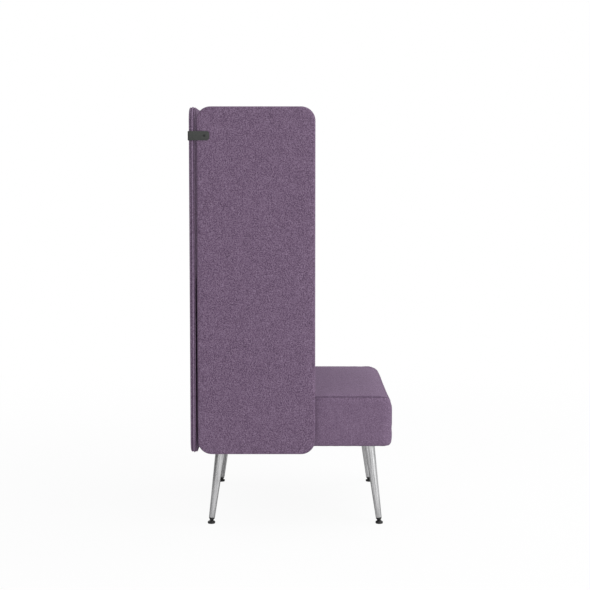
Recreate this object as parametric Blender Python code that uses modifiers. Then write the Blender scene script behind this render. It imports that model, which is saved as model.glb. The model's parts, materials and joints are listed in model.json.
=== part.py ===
# High back privacy chair: a boxed seat on four splayed metal legs, closed in by three tall padded screens.
# Metres, +Z up. The sitter faces -Y. The origin is on the floor, under the middle of the chair's outline.

import math

import bmesh
import bpy
from mathutils import Matrix, Vector

# Fit
GAP = 0.0003  # between pieces that touch
HOLE_SLACK = 0.0003  # all round a shank in its hole

# Seat block
SEAT_WIDTH = 0.650
SEAT_DEPTH = 0.650  # rear face to the fullest point of the front
SEAT_UNDERSIDE = 0.271  # floor to the fabric under the seat
SEAT_HEIGHT = 0.440  # floor to the seam round the top
SEAT_CROWN = 0.006
SEAT_CORNER_RADIUS = 0.030  # of the upright corners
SEAT_FRONT_ROLL = 0.045  # how far the soft front edge reaches back and down
SEAT_EDGE_ROLL = 0.004
SEAT_LEAST_ROLL = 0.001  # of what lies under the cover
SEAT_BOTTOM_ROLL = 0.008
SEAT_FRONT_BULGE = 0.0027
SEAT_FULLEST_DROP = 0.066  # seam to the fullest point of the front
ROLL_SQUARENESS = 3.0  # 2 is a round edge, more is squarer
SEAT_PAD = 0.005  # cover with its wadding
FLANGE_THICKNESS = 0.0027  # cover turned under the frame

# Seat frame
RAIL_THICKNESS = 0.020
RAIL_HEIGHT = 0.086
DECK_THICKNESS = 0.012
VENT_RADIUS = 0.015
VENT_SPACING = 0.150
BLOCK_SIZE = 0.088
BLOCK_HEIGHT = 0.055
DUST_COVER_THICKNESS = 0.0015
DUST_COVER_MARGIN = 0.014

# Back cushion
BACK_TOP = 0.860
BACK_DEPTH_LOW = 0.132
BACK_DEPTH_HIGH = 0.100
BACK_CROWN = 0.012
BACK_ROLL = 0.030
BACK_CORNER_RADIUS = 0.038
BACK_BOARD_THICKNESS = 0.012
BACK_FLANGE = 0.040  # cover turned behind the board
BACK_SEAT_GAP = 0.0010  # the seat's crown runs out under the cushion

# Screens
SCREEN_TOP = 1.400
SCREEN_BOTTOM = 0.248
SCREEN_THICKNESS = 0.024
SCREEN_CORNER_RADIUS = 0.047
SIDE_SCREEN_DEPTH = 0.391
SCREEN_BOARD = 0.012
BOARD_INSET = 0.011  # welt's ridge to the board's pocket
WELT_RADIUS = 0.0033
WELT_PROUD = 0.0030  # how far the welt stands out of the padding
WELT_HELD = math.radians(28)  # how far round the welt its two covers reach, from the inside
LIP_RISE = 0.0074  # half thickness where the padding reaches furthest out
LIP_BACK = 0.0030  # from there down into the groove beside the welt
LIP_HALF = 0.0036
EDGE_ROLL_DEPTH = 0.0080
CROWN_RISE = 0.0010
CROWN_REACH = 0.040  # how far in from the rolled edge the face goes on rising

# Corner clips
CLIP_HEIGHT = 0.030
CLIP_THICKNESS = 0.002
CLIP_DROP = 0.096  # top of the screens to the middle of the clip
CLIP_SIDE_LEG = 0.071
CLIP_REAR_LEG = 0.062
CLIP_BEND = 0.003
CLIP_END_RADIUS = 0.010
CLIP_SCREW_INSET = 0.017  # end of the leg to the screw
CLIP_SCREW_RADIUS = 0.0021
CLIP_SCREW_LENGTH = 0.0165
CLIP_SCREW_HEAD_RADIUS = 0.0038
CLIP_SCREW_HEAD = 0.0016
CLIP_SCREW_SOCKET_RADIUS = 0.0017
CLIP_SCREW_SOCKET = 0.0010

# Bolts
BOLT_RADIUS = 0.004
BOLT_HEAD_RADIUS = 0.0075
BOLT_HEAD = 0.0053
BOLT_RISE = 0.0457  # bottom of the rails to the bolts into the screens
SIDE_BOLT_FRONT = 0.046  # front edge of the side screen to its front bolt
SIDE_BOLT_REAR = 0.155  # back of the seat to the side screen's rear bolt
REAR_BOLT_SPAN = 0.280
BACK_BOLT_SPAN = 0.380
BACK_BOLT_DROP = 0.160  # top of the back cushion to its bolts
BOLT_BITE = 0.010  # how deep a bolt goes into the board it holds
HEAD_POCKET = 0.0062

# Legs
FOOT_INSET_X = 0.038  # side of the seat to the foot's middle
FOOT_INSET_Y = 0.041
SPLAY = math.radians(7.1)  # both outward and fore and aft
LEG_TOP_RADIUS = 0.017
LEG_BOTTOM_RADIUS = 0.010
LEG_WALL = 0.0015
LEG_END_HEIGHT = 0.0195
LEG_CAP = 0.014
LEG_STUD_RADIUS = 0.005
LEG_STUD_LENGTH = 0.036

# Levelling glides
BALL_HEIGHT = 0.0070
BALL_RADIUS = 0.0040
NECK_RADIUS = 0.0025
HEX_RADIUS = 0.0075
HEX_HEIGHT = 0.0038
STUD_RADIUS = 0.0039
STUD_LENGTH = 0.028
COLLAR_RADIUS = 0.00975
COLLAR_HEIGHT = 0.0040
PLUG_LENGTH = 0.030
FOOT_RADIUS = 0.0125
FOOT_RIM = 0.0050
FOOT_BOSS_RADIUS = 0.0068
FOOT_BOSS_TOP = 0.0027  # above the middle of the ball
FOOT_MOUTH_RADIUS = 0.0036
FOOT_EDGE = 0.0011

# Facets
LEAST_RADIUS = 0.006  # of a corner that is set in by more than its radius
ARC_STEPS = 4
SIDE_STEPS = 4
TOP_RINGS = 3  # across a cushion's crowned face, from its edge to its middle
GROOVE_STEPS = 2
LIP_STEPS = 2
EDGE_STEPS = 3
CROWN_STEPS = 2
BALL_STEPS = 4
LEG_SIDES = 24
INSERT_SIDES = 16
ROUND_SIDES = 20
BOLT_SIDES = 12

# Worked out from the above
SEAT_BACK = SEAT_DEPTH / 2
SEAT_FRONT = -(SEAT_DEPTH / 2 - SEAT_FRONT_BULGE)  # the front plane behind the bulge
SEAT_FULLEST = SEAT_HEIGHT - SEAT_FULLEST_DROP
SCREEN_HALF = SCREEN_THICKNESS / 2
SIDE_SCREEN_X = SEAT_WIDTH / 2 + GAP + SCREEN_HALF
REAR_SCREEN_Y = SEAT_BACK + GAP + SCREEN_HALF
REAR_SCREEN_WIDTH = 2 * (SIDE_SCREEN_X + SCREEN_HALF)
CLIP_FACE = SCREEN_HALF + GAP  # screen's middle plane to the clip
CLIP_CENTRE = SCREEN_TOP - CLIP_DROP
CHAIR_BACK = REAR_SCREEN_Y + CLIP_FACE + CLIP_THICKNESS
CHAIR_MIDDLE = (CHAIR_BACK - SEAT_DEPTH / 2) / 2
FRAME_BOTTOM = SEAT_UNDERSIDE + FLANGE_THICKNESS + GAP
FRAME_INSET = SEAT_PAD + GAP
RAIL_INNER = SEAT_WIDTH / 2 - FRAME_INSET - RAIL_THICKNESS
RAIL_FRONT = SEAT_FRONT + FRAME_INSET
RAIL_BACK = SEAT_BACK - FRAME_INSET
DECK_BOTTOM = FRAME_BOTTOM + RAIL_HEIGHT + GAP
DECK_TOP = DECK_BOTTOM + DECK_THICKNESS
CUSHION_LINE = SEAT_BACK - BACK_DEPTH_LOW  # front of the back cushion on the seat
BOLT_LEVEL = FRAME_BOTTOM + BOLT_RISE
SIDE_BOLTS = (SEAT_BACK - SIDE_SCREEN_DEPTH + SIDE_BOLT_FRONT, SEAT_BACK - SIDE_BOLT_REAR)
FOOT_X = SEAT_WIDTH / 2 - FOOT_INSET_X
FOOT_Y = SEAT_DEPTH / 2 - FOOT_INSET_Y
LEG_TOP = SEAT_UNDERSIDE - DUST_COVER_THICKNESS - 2 * GAP
LEG_LEAN = math.sqrt(1 + 2 * math.tan(SPLAY) ** 2)  # length along a leg for each unit of height
LEG_END = (LEG_END_HEIGHT - BALL_HEIGHT) * LEG_LEAN  # from the middle of the ball, along the leg
LEG_LENGTH = (LEG_TOP - LEG_END_HEIGHT) * LEG_LEAN
CORNERS = {"front_left": (1, -1), "front_right": (-1, -1), "rear_left": (1, 1), "rear_right": (-1, 1)}


def clear_scene():
    for thing in list(bpy.data.objects):
        bpy.data.objects.remove(thing, do_unlink=True)


def make_material(name, colour, roughness, metallic=0.0):
    material = bpy.data.materials.new(name)
    material.use_nodes = True
    shader = material.node_tree.nodes["Principled BSDF"]
    shader.inputs["Base Color"].default_value = (*colour, 1.0)
    shader.inputs["Roughness"].default_value = roughness
    shader.inputs["Metallic"].default_value = metallic
    material.diffuse_color = (*colour, 1.0)
    return material


class Chair:
    """The two collections, the empty that carries the chair, and the materials."""

    def __init__(self):
        self.parts = bpy.data.collections.new("high_back_privacy_chair")
        self.cutters = bpy.data.collections.new("cutters")
        for collection in (self.parts, self.cutters):
            bpy.context.scene.collection.children.link(collection)
        self.middle = bpy.data.objects.new("chair_middle", None)
        self.middle.location.y = -CHAIR_MIDDLE
        self.parts.objects.link(self.middle)
        self.fabric = make_material("melange_fabric", (0.17, 0.11, 0.18), 0.95)
        self.welt = make_material("welt_fabric", (0.14, 0.09, 0.15), 0.95)
        self.foam = make_material("foam", (0.75, 0.72, 0.60), 0.9)
        self.wood = make_material("birch_plywood", (0.62, 0.46, 0.28), 0.6)
        self.felt = make_material("black_cambric", (0.02, 0.02, 0.02), 0.9)
        self.steel = make_material("satin_steel", (0.60, 0.60, 0.60), 0.35, 1.0)
        self.zinc = make_material("zinc_plated_steel", (0.55, 0.55, 0.52), 0.4, 1.0)
        self.grey = make_material("grey_powder_coat", (0.07, 0.07, 0.07), 0.5)
        self.plastic = make_material("black_nylon", (0.015, 0.015, 0.015), 0.45)

    def add(self, name, mesh, material=None, parent=None):
        """A piece with a material, or a hidden cutter without one."""
        thing = bpy.data.objects.new(name, mesh)
        if material:
            mesh.materials.append(material)
            self.parts.objects.link(thing)
        else:
            self.cutters.objects.link(thing)
            thing.hide_render = True
            thing.display_type = "WIRE"
        thing.parent = parent or self.middle
        return thing


def mesh_from(shape, name, smooth=False):
    bmesh.ops.recalc_face_normals(shape, faces=shape.faces)
    mesh = bpy.data.meshes.new(name)
    shape.to_mesh(mesh)
    shape.free()
    if smooth:
        mesh.shade_smooth()
        mesh.set_sharp_from_angle(angle=math.radians(35))
    return mesh


def box(name, low, high):
    shape = bmesh.new()
    size = [b - a for a, b in zip(low, high)]
    middle = [(a + b) / 2 for a, b in zip(low, high)]
    place = Matrix.Translation(middle) @ Matrix.Diagonal((*size, 1))
    bmesh.ops.create_cube(shape, size=1, matrix=place)
    return mesh_from(shape, name)


def rod(name, start, end, radius, sides=BOLT_SIDES):
    shape = bmesh.new()
    start, end = Vector(start), Vector(end)
    turn = (end - start).to_track_quat("Z", "Y").to_matrix().to_4x4()
    bmesh.ops.create_cone(
        shape,
        cap_ends=True,
        segments=sides,
        radius1=radius,
        radius2=radius,
        depth=(end - start).length,
        matrix=Matrix.Translation((start + end) / 2) @ turn,
    )
    return mesh_from(shape, name, smooth=True)


def loft(name, rings, peak=None):
    """A closed body through rings of as many points each, its last end flat or closed on a peak."""
    shape = bmesh.new()
    rows = [[shape.verts.new(point) for point in ring] for ring in rings]
    for lower, upper in zip(rows, rows[1:]):
        for i in range(len(lower)):
            j = (i + 1) % len(lower)
            shape.faces.new((lower[i], lower[j], upper[j], upper[i]))
    bmesh.ops.triangulate(shape, faces=shape.faces)
    for row, tip in ((rows[0], None), (rows[-1], peak)):
        centre = shape.verts.new(tip or sum((corner.co for corner in row), Vector()) / len(row))
        for a, b in zip(row, row[1:] + row[:1]):
            shape.faces.new((a, b, centre))
    return mesh_from(shape, name, smooth=True)


def rounded_outline(left, right, low, high, radius, arc_steps=ARC_STEPS, side_steps=1):
    """Points round a rectangle with round corners, each with the outward normal there."""
    points = []
    centres = [
        (right - radius, low + radius, -90),
        (right - radius, high - radius, 0),
        (left + radius, high - radius, 90),
        (left + radius, low + radius, 180),
    ]
    for k, (x, y, start) in enumerate(centres):
        for step in range(arc_steps + 1):
            angle = math.radians(start + 90 * step / arc_steps)
            normal = (math.cos(angle), math.sin(angle))
            points.append((x + radius * normal[0], y + radius * normal[1], *normal))
        next_x, next_y, next_start = centres[(k + 1) % 4]
        ahead = math.radians(next_start)
        target = (next_x + radius * math.cos(ahead), next_y + radius * math.sin(ahead))
        here = points[-1]
        for step in range(1, side_steps):
            share = step / side_steps
            x = here[0] + (target[0] - here[0]) * share
            y = here[1] + (target[1] - here[1]) * share
            points.append((x, y, here[2], here[3]))
    return points


def prism(name, outline, low, high):
    return loft(name, [[(x, y, z) for x, y, *_ in outline] for z in (low, high)])


def add_turned(chair, name, profile, material, parent, steps=ROUND_SIDES):
    """A profile of (radius, height) points turned about Z, closed into a ring if it starts off the axis."""
    shape = bmesh.new()
    points = [shape.verts.new((r, 0, z)) for r, z in profile]
    closed = profile[0][0] > 0
    for a, b in zip(points, points[1:] + points[:1] if closed else points[1:]):
        shape.edges.new((a, b))
    mesh = bpy.data.meshes.new(name)
    shape.to_mesh(mesh)
    shape.free()
    thing = chair.add(name, mesh, material, parent)
    screw = thing.modifiers.new("turn", "SCREW")
    screw.steps = screw.render_steps = steps
    screw.use_merge_vertices = True
    screw.merge_threshold = 0.00002
    screw.use_smooth_shade = True
    return thing


def boolean(thing, other, operation):
    change = thing.modifiers.new(other.name, "BOOLEAN")
    change.operation = operation
    change.object = other


def drill(chair, name, start, end, radius, pieces, sides=BOLT_SIDES):
    """One round hole through every piece named."""
    cutter = chair.add(name, rod(name, start, end, radius, sides))
    for piece in pieces:
        boolean(piece, cutter, "DIFFERENCE")


def hexagon_share(angle):
    """Distance to a hexagon's side at this angle, as a share of the distance to its corner."""
    within = (angle + math.pi / 6) % (math.pi / 3) - math.pi / 6
    return math.cos(math.pi / 6) / math.cos(math.pi / 6 - abs(within))


def spindle(name, sections, sides=BOLT_SIDES):
    """A bolt or stud along Z through sections of (height, radius, whether hexagonal)."""
    rings = []
    for height, radius, hexagonal in sections:
        ring = []
        for k in range(sides):
            angle = 2 * math.pi * k / sides
            reach = radius * hexagon_share(angle) if hexagonal else radius
            ring.append((reach * math.cos(angle), reach * math.sin(angle), height))
        rings.append(ring)
    return loft(name, rings)


# Seat


def front_share(normal_y):
    """1 on the seat's front face, 0 on its other faces, and between them round the corners."""
    return max(0.0, -normal_y) ** 2


def front_bulge(normal_y, height):
    up = (height - SEAT_UNDERSIDE) / (SEAT_HEIGHT - SEAT_UNDERSIDE)
    fullest = (SEAT_FULLEST - SEAT_UNDERSIDE) / (SEAT_HEIGHT - SEAT_UNDERSIDE)
    lean = math.log(0.5) / math.log(fullest)
    return SEAT_FRONT_BULGE * front_share(normal_y) * math.sin(math.pi * up**lean)


def seat_crown(x, y):
    """Rise of the top over its seam, none under the back cushion."""
    middle = (SEAT_FRONT + CUSHION_LINE) / 2
    across = 1 - (x / (SEAT_WIDTH / 2)) ** 2
    along = 1 - ((y - middle) / (CUSHION_LINE - middle)) ** 2
    return SEAT_CROWN * max(0.0, across) * max(0.0, along)


def seat_rings(depth, bottom, roll_steps, outside):
    """Rings up the seat's wall, over its rolled edge and in to its middle, this deep under its surface."""
    top = SEAT_HEIGHT - depth
    front_roll = SEAT_FRONT_ROLL - depth
    edge_roll = max(SEAT_EDGE_ROLL - depth, SEAT_LEAST_ROLL)
    rings = []

    def ring(front_inset, side_inset, height_of):
        front, side = depth + front_inset, depth + side_inset
        points = []
        for x, y, _, normal_y in rounded_outline(
            -SEAT_WIDTH / 2 + side,
            SEAT_WIDTH / 2 - side,
            SEAT_FRONT + front,
            SEAT_BACK - side,
            max(SEAT_CORNER_RADIUS - side, LEAST_RADIUS),
            side_steps=SIDE_STEPS,
        ):
            height = height_of(normal_y)
            if outside:
                y -= front_bulge(normal_y, height)
            points.append((x, y, height + seat_crown(x, y)))
        return points

    def roll(normal_y):
        return edge_roll + (front_roll - edge_roll) * front_share(normal_y)

    if outside:
        for step in range(roll_steps):
            angle = math.pi / 2 * step / roll_steps
            inset = SEAT_BOTTOM_ROLL * (1 - math.sin(angle))
            height = bottom + SEAT_BOTTOM_ROLL * (1 - math.cos(angle))
            rings.append(ring(inset, inset, lambda n: height))
        bottom += SEAT_BOTTOM_ROLL
    wall_shares = [0.0, 1.0]
    if outside:
        fullest = (SEAT_FULLEST - bottom) / (top - front_roll - bottom)
        wall_shares[1:1] = [fullest / 2, fullest]
    for share in wall_shares:
        rings.append(ring(0, 0, lambda n: bottom + (top - roll(n) - bottom) * share))
    for step in range(1, roll_steps + 2):
        angle = math.pi / 2 * step / (roll_steps + 1)
        back = 1 - math.cos(angle) ** (2 / ROLL_SQUARENESS)
        down = 1 - math.sin(angle) ** (2 / ROLL_SQUARENESS)
        rings.append(ring(front_roll * back, edge_roll * back, lambda n: top - roll(n) * down))
    edge = rings[-1]
    line = CUSHION_LINE / SEAT_BACK  # one ring runs along the back cushion's front
    for step in range(TOP_RINGS):
        share = line * (1 - step / TOP_RINGS)
        inner = [(x * share, y * share) for x, y, _ in edge]
        rings.append([(x, y, top + seat_crown(x, y)) for x, y in inner])
    return rings, (0, 0, top + seat_crown(0, 0))


def frame_outline(margin):
    """The seat's outline, this far inside."""
    return rounded_outline(
        -SEAT_WIDTH / 2 + margin,
        SEAT_WIDTH / 2 - margin,
        SEAT_FRONT + margin,
        SEAT_BACK - margin,
        max(SEAT_CORNER_RADIUS - margin, LEAST_RADIUS),
    )


def make_seat(chair):
    outer = seat_rings(0, SEAT_UNDERSIDE, ARC_STEPS - 1, True)
    cover = chair.add("seat_cover", loft("seat_cover", *outer), chair.fabric)
    flange_top = SEAT_UNDERSIDE + FLANGE_THICKNESS
    pocket = seat_rings(SEAT_PAD, flange_top, ARC_STEPS // 2, False)
    boolean(cover, chair.add("seat_pocket", loft("seat_pocket", *pocket)), "DIFFERENCE")
    low = (-RAIL_INNER, RAIL_FRONT + RAIL_THICKNESS, SEAT_UNDERSIDE - FLANGE_THICKNESS)
    high = (RAIL_INNER, RAIL_BACK - RAIL_THICKNESS, flange_top + FLANGE_THICKNESS)
    mouth = box("seat_mouth", low, high)
    boolean(cover, chair.add("seat_mouth", mouth), "DIFFERENCE")

    foam = seat_rings(FRAME_INSET, DECK_TOP + GAP, ARC_STEPS // 2, False)
    chair.add("seat_foam", loft("seat_foam", *foam), chair.foam)

    deck = prism("seat_deck", frame_outline(FRAME_INSET), DECK_BOTTOM, DECK_TOP)
    deck = chair.add("seat_deck", deck, chair.wood)
    for row in (-1, 0, 1):
        for column in (-1, 0, 1):
            x, y = column * VENT_SPACING, row * VENT_SPACING
            below, above = (x, y, DECK_BOTTOM - GAP), (x, y, DECK_TOP + GAP)
            drill(chair, f"vent_{row}_{column}", below, above, VENT_RADIUS, [deck], ROUND_SIDES)
    return cover


def make_frame(chair):
    rounded = prism("frame_outline", frame_outline(FRAME_INSET), 0, SEAT_HEIGHT)
    rounded = chair.add("frame_outline", rounded)
    top = FRAME_BOTTOM + RAIL_HEIGHT
    outer_x = SEAT_WIDTH / 2 - FRAME_INSET
    rails = {}
    for name, low, high in (
        ("front", RAIL_FRONT, RAIL_FRONT + RAIL_THICKNESS),
        ("rear", RAIL_BACK - RAIL_THICKNESS, RAIL_BACK),
    ):
        mesh = box(f"{name}_rail", (-outer_x, low, FRAME_BOTTOM), (outer_x, high, top))
        rails[name] = chair.add(f"{name}_rail", mesh, chair.wood)
        boolean(rails[name], rounded, "INTERSECT")
    for name, side in (("left", 1), ("right", -1)):
        inner, outer = sorted((side * RAIL_INNER, side * outer_x))
        low = (inner, RAIL_FRONT + RAIL_THICKNESS + GAP, FRAME_BOTTOM)
        high = (outer, RAIL_BACK - RAIL_THICKNESS - GAP, top)
        rails[name] = chair.add(f"{name}_rail", box(f"{name}_rail", low, high), chair.wood)
        if SEAT_CORNER_RADIUS - FRAME_INSET > RAIL_THICKNESS:
            boolean(rails[name], rounded, "INTERSECT")
    return rails


def make_dust_cover(chair):
    top = SEAT_UNDERSIDE - GAP
    outline = frame_outline(DUST_COVER_MARGIN)
    mesh = prism("dust_cover", outline, top - DUST_COVER_THICKNESS, top)
    return chair.add("dust_cover", mesh, chair.felt)


# Back cushion


def back_depth(height):
    share = (height - SEAT_HEIGHT) / (BACK_TOP - SEAT_HEIGHT)
    return BACK_DEPTH_LOW + (BACK_DEPTH_HIGH - BACK_DEPTH_LOW) * share


def back_rings(depth, rear, roll_steps):
    """Rings from the cushion's rear face round its edge and in to the middle of its front."""
    bottom = SEAT_HEIGHT + BACK_SEAT_GAP
    half_width = SEAT_WIDTH / 2
    middle = (bottom + BACK_TOP) / 2
    outline = rounded_outline(
        -half_width, half_width, bottom, BACK_TOP, BACK_CORNER_RADIUS, side_steps=SIDE_STEPS
    )
    roll = min(BACK_ROLL, BACK_CORNER_RADIUS - LEAST_RADIUS) - depth

    def front(x, z):
        across = 1 - (x / half_width) ** 2
        up = 1 - ((z - middle) / (BACK_TOP - middle)) ** 2
        return back_depth(z) - BACK_CROWN + BACK_CROWN * max(0, across * up) - depth

    def ring(inset, behind):
        points = []
        for x, z, normal_x, normal_z in outline:
            x, z = x - normal_x * (depth + inset), z - normal_z * (depth + inset)
            points.append((x, SEAT_BACK - (front(x, z) - behind), z))
        return points

    edge = [(x - normal_x * depth, z - normal_z * depth) for x, z, normal_x, normal_z in outline]
    rings = [[(x, SEAT_BACK - rear, z) for x, z in edge], ring(0, roll)]
    for step in range(1, roll_steps + 1):
        angle = math.pi / 2 * step / roll_steps
        rings.append(ring(roll * (1 - math.cos(angle)), roll * (1 - math.sin(angle))))
    last = rings[-1]
    for step in range(1, TOP_RINGS + 1):
        share = 1 - step / (TOP_RINGS + 1)
        inner = [(x * share, middle + (z - middle) * share) for x, _, z in last]
        rings.append([(x, SEAT_BACK - front(x, z), z) for x, z in inner])
    return rings, (0, SEAT_BACK - front(0, middle), middle)


def back_outline(margin):
    bottom = SEAT_HEIGHT + BACK_SEAT_GAP
    half_width = SEAT_WIDTH / 2 - margin
    radius = max(BACK_CORNER_RADIUS - margin, LEAST_RADIUS)
    return rounded_outline(-half_width, half_width, bottom + margin, BACK_TOP - margin, radius)


def upright_prism(name, outline, front, back):
    return loft(name, [[(x, y, z) for x, z, *_ in outline] for y in (front, back)])


def make_back(chair):
    cover = chair.add("back_cover", loft("back_cover", *back_rings(0, 0, ARC_STEPS - 1)), chair.fabric)
    pocket_back = SEAT_BACK - FLANGE_THICKNESS
    pocket = loft("back_pocket", *back_rings(SEAT_PAD, FLANGE_THICKNESS, ARC_STEPS // 2))
    boolean(cover, chair.add("back_pocket", pocket), "DIFFERENCE")
    mouth = upright_prism(
        "back_mouth", back_outline(BACK_FLANGE), pocket_back - GAP, SEAT_BACK + SCREEN_THICKNESS
    )
    boolean(cover, chair.add("back_mouth", mouth), "DIFFERENCE")
    board_back = pocket_back - GAP
    board_front = board_back - BACK_BOARD_THICKNESS
    board = upright_prism("back_board", back_outline(FRAME_INSET), board_front, board_back)
    board = chair.add("back_board", board, chair.wood)
    rear = SEAT_BACK - board_front + GAP
    chair.add("back_foam", loft("back_foam", *back_rings(FRAME_INSET, rear, ARC_STEPS // 2)), chair.foam)
    return board, board_back


# Screens


def cover_sections():
    """(Distance in from the welt's ridge, half thickness) from the board's pocket out round the edge."""
    groove = WELT_RADIUS + GAP
    first = math.asin(GAP / 2 / groove)
    turn = (WELT_HELD - first) / GROOVE_STEPS
    sections = [(BOARD_INSET, SCREEN_BOARD / 2 + GAP), (BOARD_INSET, GAP / 2)]
    for step in range(GROOVE_STEPS + 1):
        angle = first + turn * step
        reach = groove if step in (0, GROOVE_STEPS) else groove / math.cos(turn / 2)
        sections.append((WELT_RADIUS + reach * math.cos(angle), reach * math.sin(angle)))
    for step in range(LIP_STEPS):
        angle = math.pi / 2 * (1 - step / LIP_STEPS)
        back = LIP_BACK * (1 - math.cos(angle))
        sections.append((WELT_PROUD + back, LIP_RISE - LIP_HALF * math.sin(angle)))
    face = SCREEN_HALF - CROWN_RISE
    for step in range(EDGE_STEPS + 1):
        angle = math.pi / 2 * step / EDGE_STEPS
        back = EDGE_ROLL_DEPTH * (1 - math.cos(angle))
        sections.append((WELT_PROUD + back, LIP_RISE + (face - LIP_RISE) * math.sin(angle)))
    for step in range(1, CROWN_STEPS + 1):
        share = (step / CROWN_STEPS) ** 2
        inset = WELT_PROUD + EDGE_ROLL_DEPTH + CROWN_REACH * share
        sections.append((inset, face + CROWN_RISE * (1 - (1 - share) ** 3)))
    return sections


def screen_outline(width, height, inset):
    x, z = width / 2 - inset, height / 2 - inset
    return rounded_outline(-x, x, -z, z, max(SCREEN_CORNER_RADIUS - inset, LEAST_RADIUS))


def make_screen(chair, name, width, height, location, turn):
    """A board between two padded covers that meet at a welt, built about its own middle."""
    place = bpy.data.objects.new(f"{name}_screen_middle", None)
    chair.parts.objects.link(place)
    place.parent = chair.middle
    place.location = location
    place.rotation_euler.z = turn

    outline = screen_outline(width, height, BOARD_INSET + GAP)
    half = SCREEN_BOARD / 2
    board = upright_prism(f"{name}_screen_board", outline, -half, half)
    pieces = {"board": chair.add(f"{name}_screen_board", board, chair.wood, place)}

    for face, side in (("inner", -1), ("outer", 1)):
        rings = []
        for inset, rise in cover_sections():
            ring = screen_outline(width, height, inset)
            rings.append([(x, side * rise, z) for x, z, *_ in ring])
        mesh = loft(f"{name}_screen_{face}_cover", rings)
        pieces[face] = chair.add(f"{name}_screen_{face}_cover", mesh, chair.fabric, place)

    path = screen_outline(width, height, WELT_RADIUS)
    pieces["welt"] = make_welt(chair, f"{name}_screen_welt", path, place)
    return pieces


def make_welt(chair, name, path, parent):
    """Piping round the seam of a screen."""
    curve = bpy.data.curves.new(name, "CURVE")
    curve.dimensions = "3D"
    spline = curve.splines.new("POLY")
    spline.points.add(len(path) - 1)
    for point, (x, z, *_) in zip(spline.points, path):
        point.co = (x, 0, z, 1)
    spline.use_cyclic_u = True
    spline.use_smooth = True
    curve.bevel_depth = WELT_RADIUS
    curve.bevel_resolution = 2
    curve.materials.append(chair.welt)
    thing = bpy.data.objects.new(name, curve)
    chair.parts.objects.link(thing)
    thing.parent = parent
    return thing


def make_screens(chair):
    height = SCREEN_TOP - SCREEN_BOTTOM
    level = (SCREEN_TOP + SCREEN_BOTTOM) / 2
    middle_y = SEAT_BACK - SIDE_SCREEN_DEPTH / 2
    screens = {}
    for name, side in (("left", 1), ("right", -1)):
        location = (side * SIDE_SCREEN_X, middle_y, level)
        turn = -side * math.pi / 2
        screens[name] = make_screen(chair, name, SIDE_SCREEN_DEPTH, height, location, turn)
    location = (0, REAR_SCREEN_Y, level)
    screens["rear"] = make_screen(chair, "rear", REAR_SCREEN_WIDTH, height, location, 0)
    return screens


# Corner clips


def clip_strap(side):
    """The bent strap as an open sheet on the screens' side of the metal, with round ends."""
    corner_x = SIDE_SCREEN_X + CLIP_FACE
    corner_y = REAR_SCREEN_Y + CLIP_FACE
    path = [(corner_x, corner_y + CLIP_THICKNESS - CLIP_SIDE_LEG)]
    for step in range(ARC_STEPS + 1):
        angle = math.pi / 2 * step / ARC_STEPS
        x = corner_x - CLIP_BEND * (1 - math.cos(angle))
        path.append((x, corner_y - CLIP_BEND * (1 - math.sin(angle))))
    path.append((corner_x + CLIP_THICKNESS - CLIP_REAR_LEG, corner_y))
    shape = bmesh.new()
    low, high = CLIP_CENTRE - CLIP_HEIGHT / 2, CLIP_CENTRE + CLIP_HEIGHT / 2
    rows = [[shape.verts.new((side * x, y, z)) for z in (low, high)] for x, y in path]
    for a, b in zip(rows, rows[1:]):
        corners = (a[0], b[0], b[1], a[1])
        shape.faces.new(corners if side > 0 else corners[::-1])
    ends = rows[0] + rows[-1]
    bmesh.ops.bevel(shape, geom=ends, offset=CLIP_END_RADIUS, segments=3, affect="VERTICES", profile=0.5)
    mesh = bpy.data.meshes.new("clip")
    shape.to_mesh(mesh)
    shape.free()
    return mesh


def make_clip(chair, name, side, screens):
    clip = chair.add(f"{name}_clip", clip_strap(side), chair.grey)
    metal = clip.modifiers.new("thickness", "SOLIDIFY")
    metal.thickness = CLIP_THICKNESS
    metal.offset = 1
    outer_x = SIDE_SCREEN_X + CLIP_FACE + CLIP_THICKNESS
    side_y = CHAIR_BACK - CLIP_SIDE_LEG + CLIP_SCREW_INSET
    rear_x = outer_x - CLIP_REAR_LEG + CLIP_SCREW_INSET
    for leg, start, inward, screen in (
        ("side", (side * outer_x, side_y, CLIP_CENTRE), (-side, 0, 0), screens[name]),
        ("rear", (side * rear_x, CHAIR_BACK, CLIP_CENTRE), (0, -1, 0), screens["rear"]),
    ):
        into = [screen["outer"], screen["board"]]
        make_clip_screw(chair, f"{name}_clip_{leg}_screw", Vector(start), Vector(inward), clip, into)


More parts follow.
